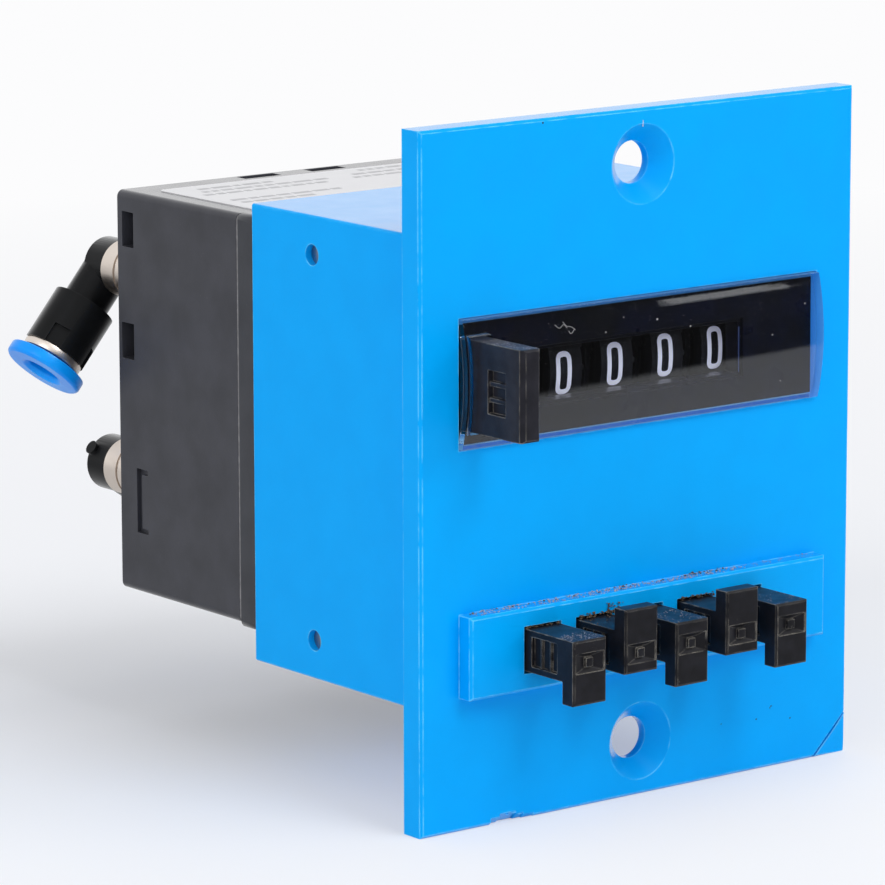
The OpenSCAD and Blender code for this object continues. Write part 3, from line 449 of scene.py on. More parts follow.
# Black nylon of the elbows: blacker than the keys, with a soft sheen along its flanks
BLACK_NYLON = MouldedPlastic(
    "black_nylon_moulded", colour="#141517", deep="#0E0F10", worn_and_highlit="#4C4D50", roughness=0.36,
    shine=0.1, wear_and_highlight=0.2, dust=0.15, skin=0.9,
)
# Glass filled grey nylon of the rear housing: dull, with a coarser grain
GREY_NYLON = MouldedPlastic(
    "grey_glass_filled_nylon", colour="#3B3C43", deep="#34353B", worn_and_highlit="#63646A", roughness=0.42,
    shine=0.3, grain=0.3, relief=0.008, wear_and_highlight=0.3, dust=0.2, skin=1.0,
)
# Glass filled nylon of the frame: a shade darker than the housing behind it
FRAME_NYLON = replace(
    GREY_NYLON, name="charcoal_glass_filled_nylon", colour="#37393F", deep="#303238", worn_and_highlit="#5C5D63"
)
# Black screen behind the cap: smooth and deep
BLACK_SCREEN = MouldedPlastic(
    "black_screen_moulded", colour="#060A1E", deep="#04050B", worn_and_highlit="#161C28", roughness=0.3,
    shine=0.12, wear_and_highlight=0.2, dust=0.12, skin=0.2,
)
# Wheels: black acetal kept clean behind the cap, a shade lighter than the screen
WHEEL_ACETAL = MouldedPlastic(
    "wheel_acetal_moulded", colour="#18181E", deep="#131318", worn_and_highlit="#3A3A42", roughness=0.45,
    shine=0.2, wear_and_highlight=0.1, dust=0.12,
)
# White acetal of the transfer pinions: waxy and clean
WHITE_ACETAL = MouldedPlastic(
    "white_acetal_moulded", colour="#E8E7E2", deep="#DDDCD6", worn_and_highlit="#F2F2F0", wear_and_highlight=0.1, dust=0.1
)
# Zinc plated sheet steel: cool, rolled, slightly blotched
SHEET_STEEL = BareMetal("zinc_plated_sheet_steel", colour="#B4B7BC", deep="#9DA1A8", roughness=0.38)
# Ground steel of shafts, rods and screws: fine lines round the bar
GROUND_STEEL = BareMetal("ground_steel", colour="#A9ABAF", deep="#93959A", marks=Turned.ALONG_X)
# Drawn spring wire: brighter and smooth
SPRING_WIRE = BareMetal("drawn_spring_wire", colour="#9A9CA0", deep="#85878C", roughness=0.25)
# Machined brass of guide, comb and spacers: warm, with fine tool marks
MILLED_BRASS = BareMetal("milled_brass", colour="#C9A458", deep="#B48E48", roughness=0.3)
# Nickel plated brass of the fittings: warm grey, turned rings along Y
PLATED_NICKEL = BareMetal(
    "nickel_plated_brass", colour="#E6DCD2", deep="#D8CDC3", roughness=0.38, pitch=0.2,
    marks=Turned.ALONG_Y,
)
# Aluminium of piston and spool: pale and softly turned
TURNED_ALUMINIUM = BareMetal(
    "turned_aluminium", colour="#C8CACD", deep="#B8BABE", marks=Turned.ALONG_Y
)
# Black rubber of washers and seals: matt
NITRILE = SoftRubber("black_nitrile_rubber")
# Grey foam gasket in the seam: paler, seen as one light line
GREY_GASKET = SoftRubber("grey_seam_gasket", colour="#6C6B6D", bloom="#858486")
# Clear cap: glossy and see-through
ACRYLIC = ClearAcrylic("clear_acrylic_moulded")
# Digits: white ink that stands out behind the cap, brightened by a painted glow
DIGIT_INK = PrintedFilm(
    "white_digit_ink", colour="#F8F8FF", deep="#EEEEFA", roughness=0.45, painted_glow=0.2,
    painted_glow_colour="#E4E2FF",
)
# Right edge of the digit slot: a dim blue line of light
GLINT_INK = PrintedFilm("blue_lit_edge", colour="#41558C", deep="#384A7C", roughness=0.4)
# Label: white film with pale grey print
LABEL_FILM = PrintedFilm("white_label_film", colour="#DCDCDF", deep="#D2D2D5")
GREY_INK = PrintedFilm("grey_label_ink", colour="#B4B4B7", deep="#A6A6AA", roughness=0.4)
# Sides of the clear cap: frosted, with painted blue light for what the plastic round them sends
# through the cap; the top is a painted shaded copy and the foot a painted lit copy
FROSTED_RIM_PAINTED_LIGHT = PrintedFilm(
    "frosted_rim_painted_blue_light", colour="#50A0DF", deep="#4692D4", roughness=0.5, painted_glow=0.33,
    painted_glow_colour="#3899FF",
)
TOP_RIM_PAINTED_SHADE = PrintedFilm(
    "frosted_top_painted_shade", colour="#446F96", deep="#3C668C", roughness=0.5, painted_glow=0.2,
    painted_glow_colour="#4CA2F0",
)
FOOT_RIM_PAINTED_LIGHT = PrintedFilm(
    "frosted_foot_painted_light", colour="#6C9CC0", deep="#6292B6", roughness=0.5, painted_glow=0.28,
    painted_glow_colour="#84C8FF",
)
# House dust, lint and crumbs: matt, in pale lilac grey, in brown and nearly black
PALE_DUST = PrintedFilm("pale_house_dust", colour="#B4B0BA", deep="#8F8B92", roughness=0.9)
BROWN_GRIME = PrintedFilm("brown_crumbs", colour="#6A5844", deep="#3A3026", roughness=0.9)
DARK_GRIME = PrintedFilm("dark_crumbs", colour="#23262E", deep="#15161A", roughness=0.8)
WHITE_LINT = PrintedFilm("white_lint", colour="#C9C9CC", deep="#B8B7B4", roughness=0.9)
# Freshly broken blue ABS: stress whitened; along the crack it also stands for painted light
BROKEN_ABS = PrintedFilm("stress_whitened_abs", colour="#5CC0F8", deep="#3CB0F2", roughness=0.6)


class Bench:
    """Modelling steps that every sub-assembly shares.

    Vertices closer than MERGE become one, and faces that turn by less than FLAT become one face.
    Edges over SHARP are rounded; shading is smooth below SMOOTH, and below ROUND on wire and ink.
    LAYER tells planes apart, and SLACK is the area that the triangles of a sound face may miss.
    """

    MERGE = 0.002 * MM
    FLAT = math.radians(0.5)
    SHARP = math.radians(32)
    SMOOTH = math.radians(40)
    ROUND = math.radians(50)
    LAYER = 0.1 * MM
    SLACK = 0.02 * MM * MM

    @staticmethod
    def only(piece: bpy.types.Object) -> None:
        """Select one piece and make it active.

        Args:
            piece: the piece.
        """
        if bpy.context.object and bpy.context.object.mode != "OBJECT":
            bpy.ops.object.mode_set(mode="OBJECT")
        bpy.ops.object.select_all(action="DESELECT")
        piece.select_set(True)
        bpy.context.view_layer.objects.active = piece

    @staticmethod
    @contextmanager
    def editing(whole: bool = True) -> Iterator[None]:
        """Stay in edit mode for the steps inside.

        Args:
            whole: whether the whole mesh is selected first.
        """
        bpy.ops.object.mode_set(mode="EDIT")
        if whole:
            bpy.ops.mesh.select_all(action="SELECT")
        yield
        bpy.ops.object.mode_set(mode="OBJECT")

    @staticmethod
    def put(name: str, data: bpy.types.ID) -> bpy.types.Object:
        """Put new data in the scene.

        Args:
            name: name of the new object.
            data: its mesh, curve, lamp or camera.

        Returns:
            The object.
        """
        item = bpy.data.objects.new(name, data)
        bpy.context.scene.collection.objects.link(item)
        return item

    @staticmethod
    def copy(node: str, name: str) -> bpy.types.Object:
        """Copy a CAD node as a new piece with whole faces instead of loose triangles.

        Args:
            node: name of the CAD node.
            name: name of the new piece.

        Returns:
            The new piece, at the origin.
        """
        piece = Bench.put(name, bpy.data.objects[node].data.copy())
        Bench.only(piece)
        bpy.ops.mesh.customdata_custom_splitnormals_clear()
        with Bench.editing():
            bpy.ops.mesh.remove_doubles(threshold=Bench.MERGE)
            bpy.ops.mesh.dissolve_limited(angle_limit=Bench.FLAT)
        return piece

    @staticmethod
    def ease(piece: bpy.types.Object, radius: float) -> None:
        """Round the edges of a piece as a mould or a deburring tool leaves them.

        Args:
            piece: the piece.
            radius: width of the rounding in millimetres.
        """
        Bench.only(piece)
        bevel = piece.modifiers.new("ease", "BEVEL")
        bevel.width = radius * MM
        bevel.segments = 2
        bevel.limit_method = "ANGLE"
        bevel.angle_limit = Bench.SHARP
        bevel.use_clamp_overlap = True
        bevel.miter_outer = "MITER_ARC"
        bpy.ops.object.modifier_apply(modifier=bevel.name)
        Bench.refill(piece)
        bpy.ops.object.shade_smooth_by_angle(angle=Bench.SMOOTH)
        shade = piece.modifiers.new("shade", "WEIGHTED_NORMAL")
        shade.keep_sharp = True
        shade.weight = 80
        bpy.ops.object.modifier_apply(modifier=shade.name)

    @staticmethod
    def broken(mesh: bpy.types.Mesh) -> dict[tuple[float, ...], set[int]]:
        """Find faces round holes whose triangles don't add up to their area.

        Args:
            mesh: mesh to look through.

        Returns:
            The faces, grouped by the plane that they lie in.
        """
        mesh.calc_loop_triangles()
        sums = [0.0] * len(mesh.polygons)
        for part in mesh.loop_triangles:
            sums[part.polygon_index] += part.area
        planes: dict[tuple[float, ...], set[int]] = {}
        for face in mesh.polygons:
            if abs(sums[face.index] - face.area) > Bench.SLACK:
                reach = round(face.normal.dot(face.center) / Bench.LAYER)
                plane = (*(round(v, 2) for v in face.normal), reach)
                planes.setdefault(plane, set()).add(face.index)
        return planes

    @staticmethod
    def refill(piece: bpy.types.Object) -> None:
        """Fill faces round holes again, from their outer and inner outlines.

        Args:
            piece: the piece.
        """
        loose = {
            "extend": False, "use_multi_face": False, "use_non_contiguous": False, "use_verts": False,
        }
        planes = Bench.broken(piece.data)
        for plane in planes:
            now = Bench.broken(piece.data).get(plane, set())
            bpy.context.scene.tool_settings.mesh_select_mode = (False, False, True)
            for part in (piece.data.vertices, piece.data.edges):
                part.foreach_set("select", [False] * len(part))
            for face in piece.data.polygons:
                face.select = face.index in now
            with Bench.editing(whole=False):
                bpy.ops.mesh.delete(type="ONLY_FACE")
                bpy.ops.mesh.select_mode(type="EDGE")
                bpy.ops.mesh.select_all(action="DESELECT")
                bpy.ops.mesh.select_non_manifold(use_wire=True, use_boundary=False, **loose)
                bpy.ops.mesh.delete(type="EDGE")
                bpy.ops.mesh.select_non_manifold(use_wire=False, use_boundary=True, **loose)
                bpy.ops.mesh.fill(use_beauty=True)
        if planes:
            with Bench.editing():
                bpy.ops.mesh.normals_make_consistent(inside=False)

    @staticmethod
    def strand(name: str, radius: float, rings: int) -> bpy.types.Curve:
        """Start a round strand with closed ends.

        Args:
            name: name of the curve.
            radius: radius of the strand in millimetres.
            rings: fineness of its round section.

        Returns:
            The curve, still without a way to follow.
        """
        data = bpy.data.curves.new(name, "CURVE")
        data.dimensions = "3D"
        data.bevel_depth = radius * MM
        data.bevel_resolution = rings
        data.use_fill_caps = True
        return data

    @staticmethod
    def solid(name: str, data: bpy.types.Curve) -> bpy.types.Object:
        """Make a mesh of a strand.

        Args:
            name: name of the piece.
            data: the strand's curve.

        Returns:
            The piece.
        """
        Bench.only(Bench.put(name, data))
        bpy.ops.object.convert(target="MESH")
        return bpy.context.object

    @staticmethod
    def finish(
        piece: bpy.types.Object, finish: Finish, body: str, slot: Slot, *nodes: str
    ) -> bpy.types.Object:
        """Give a new piece its finish and body, and hide the nodes it stands for.

        Args:
            piece: the piece.
            finish: its surface.
            body: CAD body that it rides on.
            slot: material slot of the record; not used.
            nodes: CAD nodes that it replaces.

        Returns:
            The piece.
        """
        piece.data.materials.clear()
        piece.data.materials.append(finish.material())
        for face in piece.data.polygons:
            face.material_index = 0
        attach(piece, body)
        if nodes:
            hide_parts(*nodes)
        LOG.info("%s rides on %s, %d faces", piece.name, body, len(piece.data.polygons))
        return piece

    @staticmethod
    def dress(node: str, finish: Finish) -> None:
        """Give a CAD node that stays its finish.

        Args:
            node: name of the CAD node.
            finish: its surface.
        """
        for slot in bpy.data.objects[node].material_slots:
            slot.material = finish.material()
        LOG.info("%s stays, in %s", node, finish.name)

    @staticmethod
    def join(pieces: list[bpy.types.Object], name: str) -> bpy.types.Object:
        """Join pieces into one.

        Args:
            pieces: the pieces, with their places in their meshes.
            name: name of the result.

        Returns:
            The joined piece.
        """
        Bench.only(pieces[0])
        for piece in pieces:
            piece.select_set(True)
        bpy.ops.object.join()
        pieces[0].name = name
        pieces[0].data.name = name
        return pieces[0]


@dataclass
class Refined:
    """A CAD node that is kept in shape and gets eased edges, of a radius in millimetres."""

    node: str
    finish: Finish
    body: str
    slot: Slot
    radius: float

    def build(self) -> bpy.types.Object:
        """Copy, ease and finish the node.

        Returns:
            The new piece.
        """
        piece = Bench.copy(self.node, f"{self.node}_eased")
        Bench.ease(piece, self.radius)
        return Bench.finish(piece, self.finish, self.body, self.slot, self.node)


@dataclass
class FrontHousing:
    """Blue plate and sleeve in one moulding."""

    edge: float = 0.12

    def build(self) -> None:
        """Build the moulding."""
        Refined("front_housing", BLUE_ABS, "valve", Slot.BLUE, self.edge).build()


@dataclass
class Window:
    """Clear cap with the black screen behind it.

    Half is half the cap's width, low and high its foot and its top, rim the wall at its top, foot
    the back of its foot, and left_wall the wall at its left end, whose back stays clear. The slot's
    edges are the vertices up to slot_inside within it and up to slot_outside beyond it.
    """

    edge: float = 0.06
    half: float = 24.8
    low: float = 3.6
    high: float = 17.4
    rim: float = 0.5
    foot: float = -1.0
    left_wall: float = 0.6
    near: float = 0.05
    slot_low: float = 7.95
    slot_drop: float = 0.55
    slot_right: float = 14.4
    slot_cut: float = 0.55
    slot_inside: float = 0.3
    slot_outside: float = 0.7
    screen_front: float = -2.4
    glint: Place = (0.1, 0.06, 4.9)
    glint_z: float = 10.0
    glint_edge: float = 0.02

    def frost_and_paint_light(self, cap: bpy.types.Object) -> None:
        """Give the cap's sides, foot and inner roof their frosted finish with painted light: painted blue
        light on the right end, painted shade on the top and inner roof, painted light on the foot.

        Args:
            cap: the clear cap.
        """
        # Painted light: blue light on the right end, shade on the top and roof, light on the foot
        for finish in (FROSTED_RIM_PAINTED_LIGHT, TOP_RIM_PAINTED_SHADE, FOOT_RIM_PAINTED_LIGHT):
            cap.data.materials.append(finish.material())
        for face in cap.data.polygons:
            x, y, z = (v / MM for v in face.center)
            if face.normal.x > 0.9 and x > self.half - self.near:
                face.material_index = 1
            elif abs(face.normal.z) > 0.9 and z > self.high - self.rim - self.near:
                face.material_index = 2
            elif face.normal.z < -0.9 and z < self.low + self.near:
                face.material_index = 3
            elif face.normal.y > 0.9 and y > self.foot - self.near and x > self.left_wall - self.half:
                face.material_index = 3

    def trim_slot(self, screen: bpy.types.Object) -> None:
        """Move the lower and right edge of the digit slot to where the digits end.

        Args:
            screen: the black screen.
        """
        inside, outside = self.slot_inside, self.slot_outside
        steps = (
            (2, self.slot_low - outside, self.slot_low + inside, (0, 0, -self.slot_drop * MM)),
            (0, self.slot_right - inside, self.slot_right + outside, (-self.slot_cut * MM, 0, 0)),
        )
        Bench.only(screen)
        bpy.context.scene.tool_settings.mesh_select_mode = (True, False, False)
        for axis, low, high, move in steps:
            for part in (screen.data.vertices, screen.data.edges, screen.data.polygons):
                part.foreach_set("select", [False] * len(part))
            for v in screen.data.vertices:
                v.select = low < v.co[axis] / MM < high
            with Bench.editing(whole=False):
                bpy.ops.transform.translate(value=move)

    def slot_glint(self) -> None:
        """Lay the blue glint that stands on the slot's right edge."""
        bpy.ops.object.select_all(action="DESELECT")
        x = self.slot_right - self.slot_cut - self.glint[0]
        place = Vector((x, self.screen_front, self.glint_z)) * MM
        bpy.ops.mesh.primitive_cube_add(size=MM, location=place)
        glint = bpy.context.object
        glint.name = "slot_edge_glint"
        glint.dimensions = Vector(self.glint) * MM
        bpy.ops.object.transform_apply(location=True, scale=True)
        Bench.ease(glint, self.glint_edge)
        Bench.finish(glint, GLINT_INK, "valve", Slot.BLACK)

    def build(self) -> None:
        """Build cap and screen."""
        self.frost_and_paint_light(Refined("window_lens", ACRYLIC, "valve", Slot.CLEAR, self.edge).build())
        screen = Refined("display_mask", BLACK_SCREEN, "valve", Slot.BLACK, self.edge)
        self.trim_slot(screen.build())
        self.slot_glint()


@dataclass
class DigitWheels:
    """Five wheels with the digits 0 to 9 printed round their rims.

    Each digit is one or more strokes through corners, in shares of its width and height. Rests are
    how far up its rim the print of each wheel stands, as the wheels don't stop quite level. Step is
    the turn from one digit to the next, in degrees.
    """

    edge: float = 0.06
    first_x: float = -15.2
    pitch: float = 7.05
    step: float = 36.0
    axis_y: float = 8.8
    axis_z: float = 9.7
    radius: float = 8.5
    wide: float = 2.12
    high: float = 4.66
    stroke: float = 0.58
    corner: float = 0.68
    corner_steps: int = 4
    slices: int = 11
    ink: float = 0.03
    shift: float = -0.3
    rests: tuple[float, ...] = (0.0, -0.22, -0.02, 0.14, 0.18)
    strokes: tuple[tuple[tuple[Point, ...], ...], ...] = (
        (((0, 0), (0, 1), (1, 1), (1, 0), (0, 0)),),
        (((0.15, 0.8), (0.55, 1), (0.55, 0)),),
        (((0, 0.75), (0, 1), (1, 1), (1, 0.6), (0, 0.2), (0, 0), (1, 0)),),
        (((0, 1), (1, 1), (1, 0), (0, 0)), ((0.3, 0.52), (1, 0.52))),
        (((0.75, 0), (0.75, 1), (0, 0.3), (1, 0.3)),),
        (((1, 1), (0, 1), (0, 0.58), (1, 0.58), (1, 0), (0, 0)),),
        (((1, 1), (0, 1), (0, 0), (1, 0), (1, 0.55), (0, 0.55)),),
        (((0, 1), (1, 1), (0.3, 0)),),
        (((0, 0), (0, 1), (1, 1), (1, 0), (0, 0)), ((0, 0.53), (1, 0.53))),
        (((1, 0.45), (0, 0.45), (0, 1), (1, 1), (1, 0), (0, 0)),),
    )

    def rounded(self, path: tuple[Point, ...]) -> tuple[list[Point], bool]:
        """Round the corners of a stroke.

        Args:
            path: corners of the stroke in shares of the digit's width and height.

        Returns:
            Points of the stroke's middle line in millimetres, and whether it is closed.
        """
        w, h = self.wide - self.stroke, self.high - self.stroke
        pts = [Vector(((x - 0.5) * w, (y - 0.5) * h)) for x, y in path]
        closed = path[0] == path[-1]
        if closed:
            pts = pts[:-1]
        out: list[Point] = []
        for i, here in enumerate(pts):
            if not closed and i in (0, len(pts) - 1):
                out.append((here.x, here.y))
                continue
            before, after = pts[i - 1], pts[(i + 1) % len(pts)]
            reach = min(self.corner, (here - before).length / 2, (after - here).length / 2)
            start = here + (before - here).normalized() * reach
            end = here + (after - here).normalized() * reach
            for k in range(self.corner_steps + 1):
                t = k / self.corner_steps
                p = start * (1 - t) ** 2 + here * 2 * t * (1 - t) + end * t**2
                out.append((p.x, p.y))
        return out, closed

    def digit(self, number: int) -> bpy.types.Object:
        """Draw one digit as raised ink, upright in the XZ plane at the origin.

        Args:
            number: the digit.

        Returns:
            The digit as a mesh, cut across at even heights so that it can follow the rim.
        """
        name = f"digit_{number}"
        data = Bench.strand(name, self.stroke / 2, 2)
        for path in self.strokes[number]:
            points, closed = self.rounded(path)
            spline = data.splines.new("POLY")
            spline.points.add(len(points) - 1)
            for point, (x, z) in zip(spline.points, points):
                point.co = (x * MM, 0, z * MM, 1)
            spline.use_cyclic_u = closed
        item = Bench.solid(name, data)
        half = self.slices // 2
        with Bench.editing():
            for k in range(-half, half + 1):
                height = k * self.high / self.slices * MM
                bpy.ops.mesh.select_all(action="SELECT")
                bpy.ops.mesh.bisect(plane_co=(0, 0, height), plane_no=(0, 0, 1))
        return item

    def wrap(self, item: bpy.types.Object, middle: float, rest: float, number: int) -> None:
        """Lay a digit round the rim of a wheel.

        Args:
            item: upright digit at the origin.
            middle: place of the digit along X.
            rest: how far up the rim the print stands at rest, in millimetres.
            number: the digit, which gives its turn from the front.
        """
        for v in item.data.vertices:
            turn = (v.co.z / MM + rest) / self.radius + math.radians(self.step * number)
            out = self.radius + self.ink / 2 - v.co.y / MM * self.ink / self.stroke
            y = self.axis_y - out * math.cos(turn)
            z = self.axis_z + out * math.sin(turn)
            v.co = Vector((v.co.x + middle * MM, y * MM, z * MM))

    def build(self) -> None:
        """Build the wheels and print their digits."""
        for i, rest in enumerate(self.rests):
            body = f"wheel_{i + 1}"
            node = f"digit_wheel_{i + 1}"
            Refined(node, WHEEL_ACETAL, body, Slot.BLACK, self.edge).build()
            inked = []
            for number in range(10):
                item = self.digit(number)
                self.wrap(item, self.first_x + i * self.pitch + self.shift, rest, number)
                inked.append(item)
            digits = Bench.join(inked, f"digits_{i + 1}")
            bpy.ops.object.shade_smooth_by_angle(angle=Bench.ROUND)
            Bench.finish(digits, DIGIT_INK, body, Slot.WHITE)


@dataclass
class Keys:
    """Five push keys with thumb tabs, and the button that sets the wheels back."""

    edge: float = 0.1

    def build(self) -> None:
        """Build keys and button."""
        for i in range(1, 6):
            Refined(f"key_{i}", BLACK_ACETAL, f"key_{i}_body", Slot.BLACK, self.edge).build()
        Refined("reset_button", BUTTON_ACETAL, "button", Slot.BLACK, self.edge).build()


@dataclass
class Spring:
    """Coil spring; it keeps its length when its joint moves.

    Joint, held and travel are not used: held is where its still end lies along Y, and travel is how much
    the joint would shorten it.
    """

    node: str
    joint: str
    held: float
    travel: float

    def build(self) -> None:
        """Copy the coil and finish it."""
        piece = Bench.copy(self.node, f"{self.node}_wire")
        bpy.ops.object.shade_smooth_by_angle(angle=Bench.ROUND)
        Bench.finish(piece, SPRING_WIRE, "valve", Slot.SPRING, self.node)
        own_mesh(piece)


@dataclass
class Works:
    """Mechanism between the side plates, inside the sleeve and the rear housing."""

    springs: tuple[Spring, ...] = (
        *(Spring(f"key_spring_{i}", f"key_{i}_push", 11.0, 4.8) for i in range(1, 6)),
        Spring("reset_spring", "reset_button_push", 11.0, 5.0),
        Spring("drive_spring", "drive_stroke", 43.05, 3.0),
        Spring("spool_spring", "spool_shift", 55.0, 1.8),
    )
    finishes: tuple[tuple[Finish, tuple[str, ...]], ...] = (
        (WHITE_ACETAL, tuple(f"transfer_pinion_{i}" for i in range(1, 5))),
        (SHEET_STEEL, ("left_side_plate", "right_side_plate", "cylinder_cover")),
        (GROUND_STEEL, ("spacer_rods", "retaining_pins", "drum_shaft", "pinion_shaft", "frame_screws")),
        (MILLED_BRASS, ("shaft_spacers", "key_guide", "reset_comb")),
        (TURNED_ALUMINIUM, ("drive_piston", "valve_spool")),
        (NITRILE, ("piston_seal", "spool_seals", "block_gasket")),
    )

    def build(self) -> None:
        """Build the springs and dress the nodes of the mechanism."""
        for spring in self.springs:
            spring.build()
        for finish, nodes in self.finishes:
            for node in nodes:
                Bench.dress(node, finish)


@dataclass
class RearCase:
    """Black frame, grey housing with the valve block in it, and the label on top.

    The label's print is rows of plain bars. Each row is its place along Y, its start and its end.
    """

    case_edge: float = 0.12
    block_edge: float = 0.1
    label_z: float = 24.0
    bar_high: float = 0.85
    bar_gap: float = 0.45
    bar_wide: tuple[float, float] = (0.7, 2.6)
    ink_lift: float = 0.015
    ink: float = 0.01
    print_rows: tuple[Place, ...] = (
        (48.9, -20.2, -3.0), (50.9, -19.0, -2.0), (52.9, -18.2, -8.5), (49.6, 1.2, 9.0),
        (51.6, 2.5, 11.0), (53.8, 5.0, 12.0), (42.0, -20.0, -11.0), (44.0, -20.0, -6.0),
    )

    def print_label(self) -> None:
        """Print the rows of bars on the label, each bar of its own length."""
        bars = []
        for y, start, end in self.print_rows:
            x = start
            while x < end:
                wide = random.uniform(*self.bar_wide)
                place = (x + wide / 2, y, self.label_z + self.ink_lift)
                bpy.ops.object.select_all(action="DESELECT")
                bpy.ops.mesh.primitive_plane_add(size=MM, location=[v * MM for v in place])
                bar = bpy.context.object
                bar.scale = (wide, self.bar_high, 1)
                bpy.ops.object.transform_apply(location=True, scale=True)
                bars.append(bar)
                x += wide + self.bar_gap
        printed = Bench.join(bars, "label_print_bars")
        thick = printed.modifiers.new("ink", "SOLIDIFY")
        thick.thickness = self.ink * MM
        bpy.ops.object.modifier_apply(modifier=thick.name)
        Bench.finish(printed, GREY_INK, "valve", Slot.LABEL)

    def build(self) -> None:
        """Build the rear part."""
        Refined("rear_frame", FRAME_NYLON, "valve", Slot.BLACK, self.case_edge).build()
        Bench.dress("seam_gasket", GREY_GASKET)
        Refined("rear_housing", GREY_NYLON, "valve", Slot.GREY, self.case_edge).build()
        Refined("valve_block", GREY_NYLON, "valve", Slot.GREY, self.block_edge).build()
        Bench.dress("top_label", LABEL_FILM)
        self.print_label()


@dataclass
class PushInFitting:
    """Threaded stud with a swivelling push-in elbow."""

    side: str
    metal_edge: float = 0.08
    plastic_edge: float = 0.12

    def build(self) -> None:
        """Build the fitting."""
        arm, ring = f"{self.side}_swivel", f"{self.side}_ring"
        pieces = (
            ("stud", PLATED_NICKEL, "valve", Slot.NICKEL, self.metal_edge),
            ("elbow", BLACK_NYLON, arm, Slot.BLACK, self.plastic_edge),
            ("clamp_ring", PLATED_NICKEL, arm, Slot.NICKEL, self.metal_edge),
            ("release_ring", BLUE_ACETAL, ring, Slot.BLUE, self.plastic_edge),
        )
        for name, finish, body, slot, edge in pieces:
            Refined(f"{self.side}_{name}", finish, body, slot, edge).build()
        for name in ("washer", "tube_seal"):
            Bench.dress(f"{self.side}_{name}", NITRILE)


@dataclass
class Patch:
    """Grains of one kind strewn in the box between two corners.

    Count is how many there are, and size is the least and the greatest width of one. Where on_cap
    is set, they lie on the cap's curved front instead of between the corners along Y.
    """

    name: str
    finish: Finish
    count: int
    low: Place
    high: Place
    size: tuple[float, float]
    body: str = "valve"
    on_cap: bool = False


@dataclass
class Marks:
    """Single grains at places of their own along X and Z, on the plate or on the clear cap.

    Size is the least and the greatest width of one, and flat its share of that along each axis.
    Behind is how far they lie behind the plate's face; without it they lie on the cap.
    """

    name: str
    finish: Finish
    slot: Slot
    size: tuple[float, float]
    flat: Place
    places: tuple[Point, ...]
    behind: float | None = None


